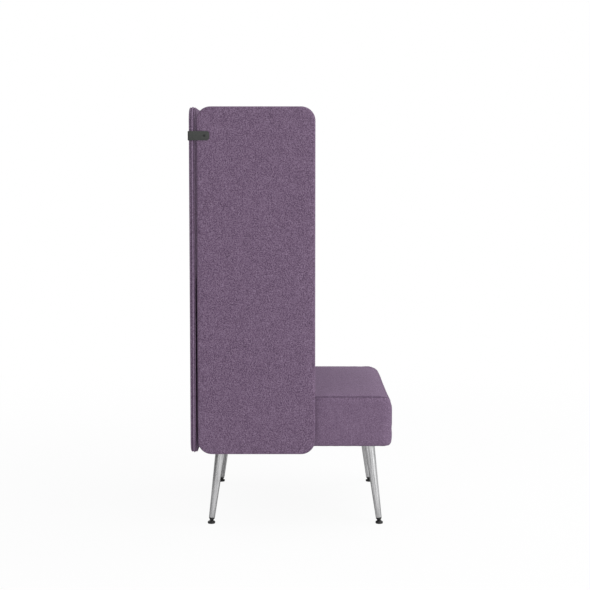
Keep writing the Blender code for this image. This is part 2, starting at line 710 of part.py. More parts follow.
def make_clip_screw(chair, name, start, inward, clip, screen_pieces):
    """A countersunk screw with a hexagon socket, flush with the clip's face."""
    place = bpy.data.objects.new(f"{name}_place", None)
    chair.parts.objects.link(place)
    place.parent = chair.middle
    place.location = start
    place.rotation_euler = (-inward).to_track_quat("Z", "Y").to_euler()
    top = -GAP
    sections = [
        (top - CLIP_SCREW_SOCKET, CLIP_SCREW_SOCKET_RADIUS, True),
        (top, CLIP_SCREW_SOCKET_RADIUS, True),
        (top, CLIP_SCREW_HEAD_RADIUS, False),
        (top - CLIP_SCREW_HEAD, CLIP_SCREW_RADIUS, False),
        (top - CLIP_SCREW_LENGTH, CLIP_SCREW_RADIUS, False),
    ]
    chair.add(name, spindle(name, sections), chair.plastic, place)
    slack = HOLE_SLACK
    seat_name = f"{name}_seat"
    sections = [
        (GAP, CLIP_SCREW_HEAD_RADIUS + 2 * slack, False),
        (top, CLIP_SCREW_HEAD_RADIUS + 2 * slack, False),
        (top - CLIP_SCREW_HEAD, CLIP_SCREW_RADIUS + slack, False),
        (-CLIP_THICKNESS - GAP, CLIP_SCREW_RADIUS + slack, False),
    ]
    boolean(clip, chair.add(seat_name, spindle(seat_name, sections), parent=place), "DIFFERENCE")
    deep = start + inward * (CLIP_SCREW_LENGTH + 2 * GAP)
    shallow = start + inward * CLIP_THICKNESS
    drill(chair, f"{name}_hole", shallow, deep, CLIP_SCREW_RADIUS + slack, screen_pieces)


# Bolts


def add_bolt(chair, name, head_at, along, length, pieces, pocket_in=None):
    """A hexagon bolt whose head bears at head_at, with its hole through the pieces it passes."""
    head_at, along = Vector(head_at), Vector(along)
    place = bpy.data.objects.new(f"{name}_place", None)
    chair.parts.objects.link(place)
    place.parent = chair.middle
    place.location = head_at
    place.rotation_euler = along.to_track_quat("Z", "Y").to_euler()
    sections = [
        (-GAP - BOLT_HEAD, BOLT_HEAD_RADIUS, True),
        (-GAP, BOLT_HEAD_RADIUS, True),
        (-GAP, BOLT_RADIUS, False),
        (length, BOLT_RADIUS, False),
    ]
    chair.add(name, spindle(name, sections), chair.zinc, place)
    hole_end = head_at + along * (length + GAP)
    drill(chair, f"{name}_hole", head_at - along * GAP, hole_end, BOLT_RADIUS + HOLE_SLACK, pieces)
    if pocket_in:
        back = head_at - along * 2 * HEAD_POCKET
        drill(chair, f"{name}_pocket", back, head_at, BOLT_HEAD_RADIUS + 2 * HOLE_SLACK, [pocket_in])


def make_bolts(chair, rails, seat_cover, screens, back_board, back_board_face):
    board_face = SCREEN_HALF - SCREEN_BOARD / 2  # screen's face to its board
    reach = RAIL_THICKNESS + FRAME_INSET + GAP + board_face + BOLT_BITE
    for name, side in (("left", 1), ("right", -1)):
        for place, y in zip(("front", "rear"), SIDE_BOLTS):
            pieces = [rails[name], seat_cover, screens[name]["inner"], screens[name]["board"]]
            start = (side * RAIL_INNER, y, BOLT_LEVEL)
            add_bolt(chair, f"{name}_screen_{place}_bolt", start, (side, 0, 0), reach, pieces)
    for place, x in (("right", -REAR_BOLT_SPAN / 2), ("left", REAR_BOLT_SPAN / 2)):
        pieces = [rails["rear"], seat_cover, screens["rear"]["inner"], screens["rear"]["board"]]
        start = (x, RAIL_BACK - RAIL_THICKNESS, BOLT_LEVEL)
        add_bolt(chair, f"rear_screen_{place}_bolt", start, (0, 1, 0), reach, pieces)
    for place, x in (("right", -BACK_BOLT_SPAN / 2), ("left", BACK_BOLT_SPAN / 2)):
        head_at = REAR_SCREEN_Y + SCREEN_BOARD / 2 - HEAD_POCKET
        length = head_at - back_board_face + BOLT_BITE
        pieces = [screens["rear"]["inner"], screens["rear"]["board"], back_board]
        add_bolt(
            chair,
            f"back_cushion_{place}_bolt",
            (x, head_at, BACK_TOP - BACK_BOLT_DROP),
            (0, -1, 0),
            length,
            pieces,
            pocket_in=screens["rear"]["board"],
        )


# Legs and levelling glides


def leg_radius(along):
    """Outer radius this far up the leg from its lower end."""
    return LEG_BOTTOM_RADIUS + (LEG_TOP_RADIUS - LEG_BOTTOM_RADIUS) * along / LEG_LENGTH


def make_leg(chair, name, side_x, side_y, dust_cover):
    """A tapered tube cut level under the seat, with the stud that screws it into its corner block."""
    lean = math.tan(SPLAY)
    ball = Vector((side_x * FOOT_X, side_y * FOOT_Y, BALL_HEIGHT))
    up = Vector((-side_x * lean, -side_y * lean, 1)).normalized()
    axis = bpy.data.objects.new(f"{name}_leg_axis", None)
    chair.parts.objects.link(axis)
    axis.parent = chair.middle
    axis.location = ball
    axis.rotation_euler = up.to_track_quat("Z", "Y").to_euler()

    top = LEG_LENGTH + 2 * LEG_TOP_RADIUS * lean  # past the level cut, all round
    cavity = LEG_LENGTH - LEG_CAP
    profile = [
        (0, LEG_END + top),
        (leg_radius(top), LEG_END + top),
        (leg_radius(0), LEG_END),
        (leg_radius(0) - LEG_WALL, LEG_END),
        (leg_radius(cavity) - LEG_WALL, LEG_END + cavity),
        (0, LEG_END + cavity),
    ]
    leg = add_turned(chair, f"{name}_leg", profile, chair.steel, axis, LEG_SIDES)
    reach = BLOCK_SIZE
    above = box(f"{name}_leg_cut", (-reach, -reach, 0), (reach, reach, reach))
    above = chair.add(f"{name}_leg_cut", above)
    above.location = ball + up * (LEG_TOP - BALL_HEIGHT) * LEG_LEAN
    boolean(leg, above, "DIFFERENCE")
    stud_low = LEG_END + LEG_LENGTH - LEG_CAP / 2
    stud_high = LEG_END + LEG_LENGTH + LEG_STUD_LENGTH
    stud = rod(f"{name}_leg_stud", (0, 0, stud_low), (0, 0, stud_high), LEG_STUD_RADIUS)
    boolean(leg, chair.add(f"{name}_leg_stud", stud, parent=axis), "UNION")

    block = make_corner_block(chair, name, side_x, side_y)
    radius = LEG_STUD_RADIUS + HOLE_SLACK
    start = ball + up * (LEG_END + LEG_LENGTH - LEG_CAP)
    end = ball + up * (stud_high + GAP)
    drill(chair, f"{name}_leg_stud_hole", start, end, radius, [block, dust_cover])
    return axis, ball


def make_corner_block(chair, name, side_x, side_y):
    """A block glued into the frame's corner between the flange of the cover and the rails."""
    outer_x = RAIL_INNER - GAP
    outer_y = RAIL_BACK - RAIL_THICKNESS - GAP if side_y > 0 else -(RAIL_FRONT + RAIL_THICKNESS + GAP)
    bottom = SEAT_UNDERSIDE
    x = sorted((side_x * outer_x, side_x * (outer_x - BLOCK_SIZE)))
    y = sorted((side_y * outer_y, side_y * (outer_y - BLOCK_SIZE)))
    mesh = box(f"{name}_block", (x[0], y[0], bottom), (x[1], y[1], bottom + BLOCK_HEIGHT))
    return chair.add(f"{name}_block", mesh, chair.wood)


def make_glide(chair, name, axis, ball):
    collar_top = LEG_END - GAP
    collar_bottom = collar_top - COLLAR_HEIGHT
    bore = STUD_RADIUS + HOLE_SLACK

    def plug_radius(along):
        return leg_radius(along) - LEG_WALL - GAP

    insert = [
        (plug_radius(PLUG_LENGTH), LEG_END + PLUG_LENGTH),
        (plug_radius(0), collar_top),
        (COLLAR_RADIUS, collar_top),
        (COLLAR_RADIUS, collar_bottom + FOOT_EDGE),
        (COLLAR_RADIUS - FOOT_EDGE, collar_bottom),
        (bore, collar_bottom),
        (bore, LEG_END + PLUG_LENGTH),
    ]
    add_turned(chair, f"{name}_leg_insert", insert, chair.plastic, axis, INSERT_SIDES)

    hex_top = collar_bottom - GAP
    sections = []
    for step in range(1, BALL_STEPS + 1):
        angle = math.pi * step / (BALL_STEPS + 2)
        sections.append((-BALL_RADIUS * math.cos(angle), BALL_RADIUS * math.sin(angle), False))
    neck = math.sqrt(BALL_RADIUS**2 - NECK_RADIUS**2)
    sections += [
        (neck, NECK_RADIUS, False),
        (hex_top - HEX_HEIGHT, NECK_RADIUS, False),
        (hex_top - HEX_HEIGHT, HEX_RADIUS, True),
        (hex_top, HEX_RADIUS, True),
        (hex_top, STUD_RADIUS, False),
        (hex_top + STUD_LENGTH, STUD_RADIUS, False),
    ]
    chair.add(f"{name}_glide_stud", spindle("glide_stud", sections), chair.plastic, axis)

    socket = BALL_RADIUS + GAP
    mouth = math.asin(FOOT_MOUTH_RADIUS / socket)
    profile = []
    for step in range(BALL_STEPS + 1):
        angle = (math.pi - mouth) * step / BALL_STEPS
        profile.append((socket * math.sin(angle), -socket * math.cos(angle)))
    profile[0] = (0, -socket)
    profile += [
        (FOOT_MOUTH_RADIUS, FOOT_BOSS_TOP),
        (FOOT_BOSS_RADIUS, FOOT_BOSS_TOP),
        (FOOT_BOSS_RADIUS, FOOT_RIM + FOOT_EDGE - BALL_HEIGHT + FOOT_EDGE),
        (FOOT_RADIUS - FOOT_EDGE, FOOT_RIM + FOOT_EDGE - BALL_HEIGHT),
        (FOOT_RADIUS, FOOT_RIM - BALL_HEIGHT),
        (FOOT_RADIUS, FOOT_EDGE - BALL_HEIGHT),
        (FOOT_RADIUS - FOOT_EDGE, -BALL_HEIGHT),
        (0, -BALL_HEIGHT),
    ]
    foot = add_turned(chair, f"{name}_glide_foot", profile, chair.plastic, chair.middle)
    foot.location = ball


def main():
    clear_scene()
    chair = Chair()
    seat_cover = make_seat(chair)
    rails = make_frame(chair)
    dust_cover = make_dust_cover(chair)
    screens = make_screens(chair)
    back_board, back_board_face = make_back(chair)
    make_bolts(chair, rails, seat_cover, screens, back_board, back_board_face)
    for name, side in (("left", 1), ("right", -1)):
        make_clip(chair, name, side, screens)
    for name, (side_x, side_y) in CORNERS.items():
        axis, ball = make_leg(chair, name, side_x, side_y, dust_cover)
        make_glide(chair, name, axis, ball)


main()
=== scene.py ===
# High back privacy chair: the looks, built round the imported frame. Metres, +Z up, the sitter faces -Y.

import json
import math
import random

import bmesh
import bpy
from mathutils import Matrix, Vector


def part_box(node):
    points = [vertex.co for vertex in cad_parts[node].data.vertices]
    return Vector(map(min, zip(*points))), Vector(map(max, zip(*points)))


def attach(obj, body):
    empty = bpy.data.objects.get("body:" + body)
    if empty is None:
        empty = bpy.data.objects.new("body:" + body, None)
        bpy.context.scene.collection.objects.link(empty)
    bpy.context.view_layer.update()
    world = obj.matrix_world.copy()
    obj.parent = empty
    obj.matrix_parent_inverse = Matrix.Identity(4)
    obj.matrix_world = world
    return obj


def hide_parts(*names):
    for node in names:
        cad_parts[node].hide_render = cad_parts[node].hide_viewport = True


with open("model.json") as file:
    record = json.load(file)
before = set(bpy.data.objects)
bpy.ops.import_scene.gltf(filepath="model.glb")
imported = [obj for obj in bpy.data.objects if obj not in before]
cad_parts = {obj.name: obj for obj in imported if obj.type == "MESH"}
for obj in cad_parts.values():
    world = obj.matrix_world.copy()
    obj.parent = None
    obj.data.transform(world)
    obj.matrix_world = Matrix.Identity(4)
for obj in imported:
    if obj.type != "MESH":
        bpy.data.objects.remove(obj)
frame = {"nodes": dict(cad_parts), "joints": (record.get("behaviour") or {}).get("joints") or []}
scene = bpy.context.scene
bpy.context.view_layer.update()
nodes = frame["nodes"]
corners = ("front_left", "front_right", "rear_left", "rear_right")
fitGap = 0.0003  # between pieces that touch
print("frame loaded:", len(nodes), "nodes")

for name in ("Cube", "Light", "Camera"):
    if name in bpy.data.objects:
        bpy.data.objects.remove(bpy.data.objects[name])


# Colours and materials

def linear(hexColour):
    channels = [int(hexColour[i : i + 2], 16) / 255 for i in (1, 3, 5)]
    return [c / 12.92 if c <= 0.04045 else ((c + 0.055) / 1.055) ** 2.4 for c in channels] + [1.0]


def plug(tree, node, inputs):
    for socket, value in inputs.items():
        if isinstance(value, bpy.types.NodeSocket):
            tree.links.new(value, node.inputs[socket])
        else:
            node.inputs[socket].default_value = value


def addNode(tree, kind, inputs, stops=None, **settings):
    node = tree.nodes.new("ShaderNode" + kind)
    for setting, value in settings.items():
        setattr(node, setting, value)
    plug(tree, node, inputs)
    if stops:
        ramp = node.color_ramp
        while len(ramp.elements) < len(stops):
            ramp.elements.new(0.5)
        for element, (position, colour) in zip(ramp.elements, stops):
            element.position, element.color = position, linear(colour)
    return node.outputs


def newMaterial(name):
    material = bpy.data.materials.new(name)
    material.use_nodes = True
    tree = material.node_tree
    shader = tree.nodes["Principled BSDF"]
    where = addNode(tree, "TexCoord", {})["Object"]
    return material, tree, shader, where


def perMetre(millimetres):
    return 1000 / millimetres  # texture scale that gives features of this size


def bumped(tree, height, strength, depth):
    return addNode(tree, "Bump", {"Height": height, "Strength": strength, "Distance": depth})["Normal"]


# Melange wool felt: dyed fibres in several shades, carded together and fulled. Matt, mottled, a faint halo of fuzz.
felt = {
    "screenShades": ("#4e3e51", "#655068", "#76617a", "#907c93"),
    "seatLitShades": ("#5d4a60", "#6d5871", "#79657d", "#8a758d"),  # a closer-shorn run, so quieter; also lighter than the screens' shades, which is painted light for the brighter light on the seat
    # lighter than the screens' shades: a painted highlight where the piping stands proud and catches the light
    "pipingHighlightShades": ("#614e65", "#745f78", "#826e86", "#95819a"),
    "shadeStops": (0.40, 0.478, 0.522, 0.61),
    "mottleSize": 28,  # mm, slow drift of the shade
    "tuftSize": 3.5,  # mm, tufts of one shade; the real ones are nearer 2 mm, drawn coarser to show
    "fibreSize": 2.2,  # mm
    "nubSize": 3.0,  # mm, raised nubs, drawn coarser than the real 1 mm
    "nubHeight": 0.0006,
    "mottleShare": 0.06,
    "fibreShare": 0.18,
    "roughness": 0.92,
    "fuzz": 0.18,
    "fuzzTint": "#a597ab",
}


def woolFelt(name, shades):
    material, tree, shader, where = newMaterial(name)
    layers = []
    for size, detail, roughness, distortion in (
        ("mottleSize", 2.0, 0.5, 0.0),
        ("tuftSize", 4.0, 0.75, 0.4),
        ("fibreSize", 2.0, 0.6, 1.5),
    ):
        layer = {"Scale": perMetre(felt[size]), "Detail": detail, "Roughness": roughness, "Distortion": distortion}
        layers.append(addNode(tree, "TexNoise", {"Vector": where, **layer})["Fac"])
    mottle, tuft, fibre = layers
    mixed = addNode(tree, "Mix", {0: felt["mottleShare"], 2: tuft, 3: mottle})
    mixed = addNode(tree, "Mix", {0: felt["fibreShare"], 2: mixed[0], 3: fibre})
    ramp = addNode(tree, "ValToRGB", {0: mixed[0]}, list(zip(felt["shadeStops"], shades)))
    nubs = addNode(tree, "TexVoronoi", {"Vector": where, "Scale": perMetre(felt["nubSize"])}, feature="SMOOTH_F1")
    height = addNode(tree, "Mix", {0: 0.5, 2: nubs["Distance"], 3: tuft})
    look = {"Base Color": ramp["Color"], "Roughness": felt["roughness"], "Specular IOR Level": 0.25}
    look |= {"Sheen Weight": felt["fuzz"], "Sheen Roughness": 0.5, "Sheen Tint": linear(felt["fuzzTint"])}
    plug(tree, shader, {**look, "Normal": bumped(tree, height[0], 0.6, felt["nubHeight"])})
    return material


screenWoolFelt = woolFelt("screenWoolFelt", felt["screenShades"])
# the seat's felt is lighter than the screens': painted light for the brighter light on the seat
seatWoolFelt = woolFelt("seatWoolFelt", felt["seatLitShades"])
# the piping's felt is lighter than the pads': a painted highlight
pipingWoolFelt = woolFelt("pipingWoolFelt", felt["pipingHighlightShades"])

# Brushed steel tube: polished lengthwise with a grit belt. Fine streaks along the leg, a broad soft shine.
steel = {
    "shades": ("#9c9c9d", "#c9c9ca", "#eeeeee"),
    "shadeStops": (0.36, 0.5, 0.64),
    "streakWidth": 5.0,  # mm, bands left by the belt; the scratches in them are finer than a pixel
    "streakLength": 260,
    "scratchWidth": 0.6,
    "scratchDepth": 0.00004,
    "roughness": (0.20, 0.34),
    "edgeTint": "#8a8a8a",  # the tube's sides turn darker than its face
}


def brushedSatinSteel():
    material, tree, shader, where = newMaterial("brushedSatinSteel")
    across, along = perMetre(steel["streakWidth"]), perMetre(steel["streakLength"])
    stretched = addNode(tree, "Mapping", {"Vector": where, "Scale": (across, across, along)})
    streak = addNode(tree, "TexNoise", {"Vector": stretched[0], "Scale": 1.0, "Detail": 3.0, "Roughness": 0.6})
    thinner = {0: stretched[0], "Scale": steel["streakWidth"] / steel["scratchWidth"]}
    finer = addNode(tree, "VectorMath", thinner, operation="SCALE")
    scratch = addNode(tree, "TexNoise", {"Vector": finer[0], "Scale": 1.0, "Detail": 3.0, "Roughness": 0.65})
    mixed = addNode(tree, "Mix", {0: 0.3, 2: streak["Fac"], 3: scratch["Fac"]})
    tone = addNode(tree, "ValToRGB", {0: mixed[0]}, list(zip(steel["shadeStops"], steel["shades"])))
    low, high = steel["roughness"]
    spread = {"From Min": 0.3, "From Max": 0.7, "To Min": low, "To Max": high}
    polish = addNode(tree, "MapRange", {"Value": scratch["Fac"], **spread})
    look = {"Base Color": tone["Color"], "Roughness": polish[0], "Metallic": 1.0}
    look |= {"Specular Tint": linear(steel["edgeTint"])}
    plug(tree, shader, {**look, "Normal": bumped(tree, scratch["Fac"], 0.6, steel["scratchDepth"])})
    return material


def grainy(name, colour, lighter, roughness, grainSize, grainHeight, metallic=0.0):
    material, tree, shader, where = newMaterial(name)
    grain = addNode(tree, "TexNoise", {"Vector": where, "Scale": perMetre(grainSize), "Detail": 3.0})
    tone = addNode(tree, "ValToRGB", {0: grain["Fac"]}, [(0.35, colour), (0.7, lighter)])
    spread = {"To Min": roughness - 0.06, "To Max": roughness + 0.06}
    matt = addNode(tree, "MapRange", {"Value": grain["Fac"], **spread})
    look = {"Base Color": tone["Color"], "Roughness": matt[0], "Metallic": metallic}
    plug(tree, shader, {**look, "Normal": bumped(tree, grain["Fac"], 0.5, grainHeight)})
    return material


satinSteel = brushedSatinSteel()
# Powder coat, sprayed and baked: an even dark grey with a fine orange peel that breaks up the shine.
greyPowderCoat = grainy("greyPowderCoat", "#2f312f", "#3a3c3a", 0.55, 0.8, 0.00006)
# Nylon, injection moulded in a spark-eroded mould: black, with a fine matt grain.
mouldedNylon = grainy("mouldedNylon", "#191919", "#242425", 0.48, 0.5, 0.00004)
# Black oxide on steel: a dark skin, slightly oily, so it shines a little more than the plastic.
blackOxideSteel = grainy("blackOxideSteel", "#0b0b0c", "#151517", 0.54, 0.7, 0.00002)
# Zinc plating on steel, barrel plated: bluish grey, cloudy from crystal to crystal.
zincPlate = grainy("zincPlate", "#a4a6a6", "#c0c1bd", 0.40, 1.8, 0.00003, 1.0)
# Polyurethane foam, cut from a block: open cells that read as a fine sponge.
cutFoam = grainy("cutFoam", "#d8d2bd", "#ece7d6", 0.95, 0.7, 0.0004)
# Spunbonded lining under the seat: thin black fibre mat, rolled with a grid of bonding dots.
spunbondLining = grainy("spunbondLining", "#141415", "#212123", 0.88, 1.2, 0.00015)

# Birch plywood, peeled, glued and sanded: pale, with a faint long grain.
plywood = {"grainLength": 70, "grainWidth": 5, "shades": ((0.3, "#b5986c"), (0.5, "#cdb48a"), (0.7, "#dcc8a2"))}  # mm


def sandedBirchPlywood():
    material, tree, shader, where = newMaterial("sandedBirchPlywood")
    along, across = perMetre(plywood["grainLength"]), perMetre(plywood["grainWidth"])
    stretched = addNode(tree, "Mapping", {"Vector": where, "Scale": (along, across, across)})
    grain = addNode(tree, "TexNoise", {"Vector": stretched[0], "Scale": 1.0, "Detail": 5.0, "Distortion": 0.8})
    tone = addNode(tree, "ValToRGB", {0: grain["Fac"]}, plywood["shades"])
    normal = bumped(tree, grain["Fac"], 0.3, 0.0001)
    plug(tree, shader, {"Base Color": tone["Color"], "Roughness": 0.62, "Normal": normal})
    return material


birchPlywood = sandedBirchPlywood()
print("materials made")


# Mesh helpers

def circle(sides):
    return [(math.cos(2 * math.pi * k / sides), math.sin(2 * math.pi * k / sides)) for k in range(sides)]


def arc(start, end, steps, first=0):
    # (cosine, sine) at even steps between two angles in degrees
    angles = [math.radians(start + (end - start) * step / steps) for step in range(first, steps + 1)]
    return [(math.cos(angle), math.sin(angle)) for angle in angles]


def addObject(name, data):
    added = bpy.data.objects.new(name, data)
    scene.collection.objects.link(added)
    return added


def addMesh(name, form, material):
    # a form is (points, faces)
    mesh = bpy.data.meshes.new(name)
    mesh.from_pydata([tuple(p) for p in form[0]], [], form[1])
    mesh.materials.append(material)
    return addObject(name, mesh)


def makePiece(name, form, material, slot=None, replaced=None, body="chair", sharpAngle=40, place=None):
    # without a slot it is only a step on the way to a piece
    piece = addMesh(name, form, material)
    mesh, shape = piece.data, bmesh.new()
    shape.from_mesh(mesh)
    bmesh.ops.recalc_face_normals(shape, faces=shape.faces)
    shape.to_mesh(mesh)
    shape.free()
    mesh.shade_smooth()
    mesh.set_sharp_from_angle(angle=math.radians(sharpAngle))
    if place:
        piece.matrix_world = place
    if slot:
        settle(piece, replaced, body)
    return piece


def settle(piece, replaced, body):
    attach(piece, body)
    if replaced:
        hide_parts(replaced)


def loft(rings, base="flat", tip="flat", closed=False):
    # rings of as many points; base and tip are a point, "flat" or None for an open end; closed joins both ends
    columns, last = len(rings[0]), (len(rings) - 1) * len(rings[0])
    points = [p for ring in rings for p in ring]
    count = len(points)
    faces = []
    for start in range(0, count if closed else last, columns):
        for k in range(columns):
            a, b = start + k, start + (k + 1) % columns
            faces.append((a, b, (b + columns) % count, (a + columns) % count))
    if closed:
        return points, faces
    for start, peak in ((0, base), (last, tip)):
        if peak == "flat":
            faces.append(tuple(range(start, start + columns)))
        elif peak is not None:
            points.append(peak)
            faces += [(start + k, start + (k + 1) % columns, len(points) - 1) for k in range(columns)]
    return points, faces


def turned(profile, sides):
    # a profile of (radius, height) turned about Z; a closed ring where no end is on the axis
    rings, ends = list(profile), [None, None]
    if rings[0][0] == 0:
        ends[0] = (0, 0, rings.pop(0)[1])
    if rings[-1][0] == 0:
        ends[1] = (0, 0, rings.pop()[1])
    made = [[(r * c, r * s, z) for c, s in circle(sides)] for r, z in rings]
    return loft(made, *ends, closed=ends == [None, None])


def filleted(profile):
    # (radius, height, fillet) corners rounded off in a few steps
    made, steps = [], 4
    for k, corner in enumerate(profile):
        here = Vector(corner[:2])
        if len(corner) < 3:
            made.append(tuple(here))
            continue
        before, after = Vector(profile[k - 1][:2]), Vector(profile[k + 1][:2])
        into, out = (before - here).normalized(), (after - here).normalized()
        half = into.angle(out) / 2
        reach = min(corner[2] / math.tan(half), (before - here).length * 0.49, (after - here).length * 0.49)
        start, end = here + into * reach, here + out * reach
        for step in range(steps + 1):
            t = step / steps
            made.append(tuple(start * (1 - t) ** 2 + here * 2 * t * (1 - t) + end * t**2))
    return made


def roundedOutline(edges, inset, settings, steps):
    # (x, y, normal x, normal y) this far inside a rectangle with round corners
    left, right, low, high = edges[0] + inset, edges[1] - inset, edges[2] + inset, edges[3] - inset
    radius = max(settings["cornerRadius"] - inset, settings["leastRadius"])
    arcSteps, acrossSteps, upSteps = steps
    centres = (
        (right - radius, low + radius, -90, upSteps),
        (right - radius, high - radius, 0, acrossSteps),
        (left + radius, high - radius, 90, upSteps),
        (left + radius, low + radius, 180, acrossSteps),
    )
    points = []
    for k, (x, y, start, sideSteps) in enumerate(centres):
        for c, s in arc(start, start + 90, arcSteps):
            points.append((x + radius * c, y + radius * s, c, s))
        nextX, nextY, *_ = centres[(k + 1) % 4]
        for share in [step / sideSteps for step in range(1, sideSteps)]:
            points.append((x + (nextX - x) * share + radius * c, y + (nextY - y) * share + radius * s, c, s))
    return points


# Sewn and padded fabric

cushion = {
    "pad": 0.005,  # cover and its wadding
    "flange": 0.0027,  # cover turned under the frame or behind the board
    "leastRadius": 0.006,
    "plainStops": (0.002, 0.006, 0.012),  # from the seam, rows of what lies under the cover
    "plainRows": (5, 1),
    "plainRings": 8,
    "pressure": 4,
    "stiffness": 25,
    "quality": 5,
    "frames": 20,
}


def resampled(line, seam, near, belowRows, aboveRows):
    # points of a profile at these distances before and after its seam, then evenly to its ends
    lengths = [0.0]
    for a, b in zip(line, line[1:]):
        lengths.append(lengths[-1] + math.dist(a, b))
    start, end = -lengths[seam], lengths[-1] - lengths[seam]
    stops = [start + (-near[-1] - start) * k / belowRows for k in range(belowRows)]
    stops += [-s for s in reversed(near)] + [0.0] + list(near)
    stops += [near[-1] + (end - near[-1]) * (k + 1) / aboveRows for k in range(aboveRows)]
    made, k = [], 0
    for stop in stops:
        along = min(max(stop - start, 0), lengths[-1])
        while k < len(lengths) - 2 and lengths[k + 1] < along:
            k += 1
        share = (along - lengths[k]) / max(lengths[k + 1] - lengths[k], 1e-9)
        made.append(tuple(a + (b - a) * share for a, b in zip(line[k], line[k + 1])))
    return made, stops


def inwardAt(line, k):
    before, after = line[max(k - 1, 0)], line[min(k + 1, len(line) - 1)]
    run, rise = after[0] - before[0], after[1] - before[1]
    length = math.hypot(run, rise) or 1
    return rise / length, -run / length


def sewnProfile(line, seam, settings, outside):
    # the profile in rows; outside, a narrow slot is pulled straight in at the seam, so that a lip stands
    # on both sides of it, in a wider tuck
    if not outside:
        return resampled(line, seam, settings["plainStops"], *settings["plainRows"])
    line, stops = resampled(line, seam, settings["seamStops"], *settings["seamRows"])
    slot = inwardAt(line, stops.index(0.0))
    made = []
    for k, (point, stop) in enumerate(zip(line, stops)):
        deep = settings["seamDepth"] * math.exp(-((stop / settings["seamWidth"]) ** 2))
        shallow = settings["tuck"] * math.exp(-((stop / settings["tuckReach"]) ** 2))
        around = inwardAt(line, k)
        made.append(tuple(p + deep * s + shallow * a for p, s, a in zip(point, slot, around)))
    return made, stops


def puffUp(piece, sewn, stops, columns, settings, bounds):
    # Blender's cloth, held where it is sewn or stapled, swollen by the foam under it; the panel is then evened
    give = []
    for stop in stops:  # next to the seam the fabric can't rise
        give += [min(1, max(0, abs(stop) - settings["seamWidth"]) / settings["seamHold"])] * columns
    panel = next(row for row, stop in enumerate(stops) if stop > settings["seamReach"]) * columns
    group = piece.vertex_groups.new(name="sewn")
    group.add(sewn, 1.0, "REPLACE")
    modifier = piece.modifiers.new("cloth", "CLOTH")
    modifier.settings.quality = settings["quality"]
    modifier.settings.vertex_group_mass = "sewn"
    modifier.settings.use_pressure = True
    modifier.settings.uniform_pressure_force = settings["pressure"]
    modifier.settings.effector_weights.gravity = 0
    modifier.settings.tension_stiffness = modifier.settings.compression_stiffness = settings["stiffness"]
    modifier.point_cache.frame_start, modifier.point_cache.frame_end = 1, settings["frames"]
    for number in range(1, settings["frames"] + 1):
        scene.frame_set(number)
    swollen = piece.evaluated_get(bpy.context.evaluated_depsgraph_get()).to_mesh()
    places = [vertex.co.copy() for vertex in swollen.vertices]
    piece.modifiers.remove(modifier)
    piece.vertex_groups.remove(group)
    scene.frame_set(1)
    for number, (vertex, place) in enumerate(zip(piece.data.vertices, places)):
        step = (place - vertex.co) * (give[number] if number < len(give) else 1)
        if step.length > settings["cap"]:
            step *= settings["cap"] / step.length
        vertex.co = [min(max(p, low), high) for p, low, high in zip(vertex.co + step, *bounds)]
    shape = bmesh.new()
    shape.from_mesh(piece.data)
    shape.verts.ensure_lookup_table()
    loose = shape.verts[panel:]
    for _ in range(settings["evened"]):
        bmesh.ops.smooth_vert(shape, verts=loose, factor=0.5, use_axis_x=True, use_axis_y=True, use_axis_z=True)
    shape.to_mesh(piece.data)
    shape.free()


def makeCushion(name, ringsAt, settings, isHeld, bounds, turnedIn, foamStart):
    # the outside of the cover is swollen, then its inside and the foam follow under it
    rings, tip, stops = ringsAt(0, 0, True)
    columns = len(rings[0])
    points, faces = loft(rings, None, tip)
    piece = makePiece(f"{name}_cushion_cover", (points, faces), seatWoolFelt, sharpAngle=180)
    sewn = [k for k, p in enumerate(points) if isHeld(p)]
    for row, stop in enumerate(stops):
        if abs(stop) < settings["seamWidth"]:
            sewn += range(row * columns, (row + 1) * columns)
    puffUp(piece, sewn, stops, columns, settings, bounds)
    print(name, "cover swollen")
    outer = [vertex.co.copy() for vertex in piece.data.vertices]
    bpy.data.objects.remove(piece)

    inner, innerTip, _ = ringsAt(settings["pad"], settings["flange"], False)
    points, more = loft([[turnedIn(p) for p in rings[0]]] + inner, None, innerTip)
    first = len(outer)
    faces += [tuple(first + k for k in reversed(face)) for face in more]
    for k in range(columns):
        faces.append((k, (k + 1) % columns, first + (k + 1) % columns, first + k))
    form = (outer + points, faces)
    cover = makePiece(f"{name}_cushion_cover", form, seatWoolFelt, "melange_fabric", f"{name}_cover", sharpAngle=75)

    inner, innerTip, _ = ringsAt(settings["pad"] + fitGap, foamStart, False)
    foam = makePiece(f"{name}_cushion_foam", loft(inner, tip=innerTip), cutFoam, "foam", f"{name}_foam")
    print(name, "cushion made")


# Seat cushion: boxed cover with one seam round its top edge, over foam, turned under the frame

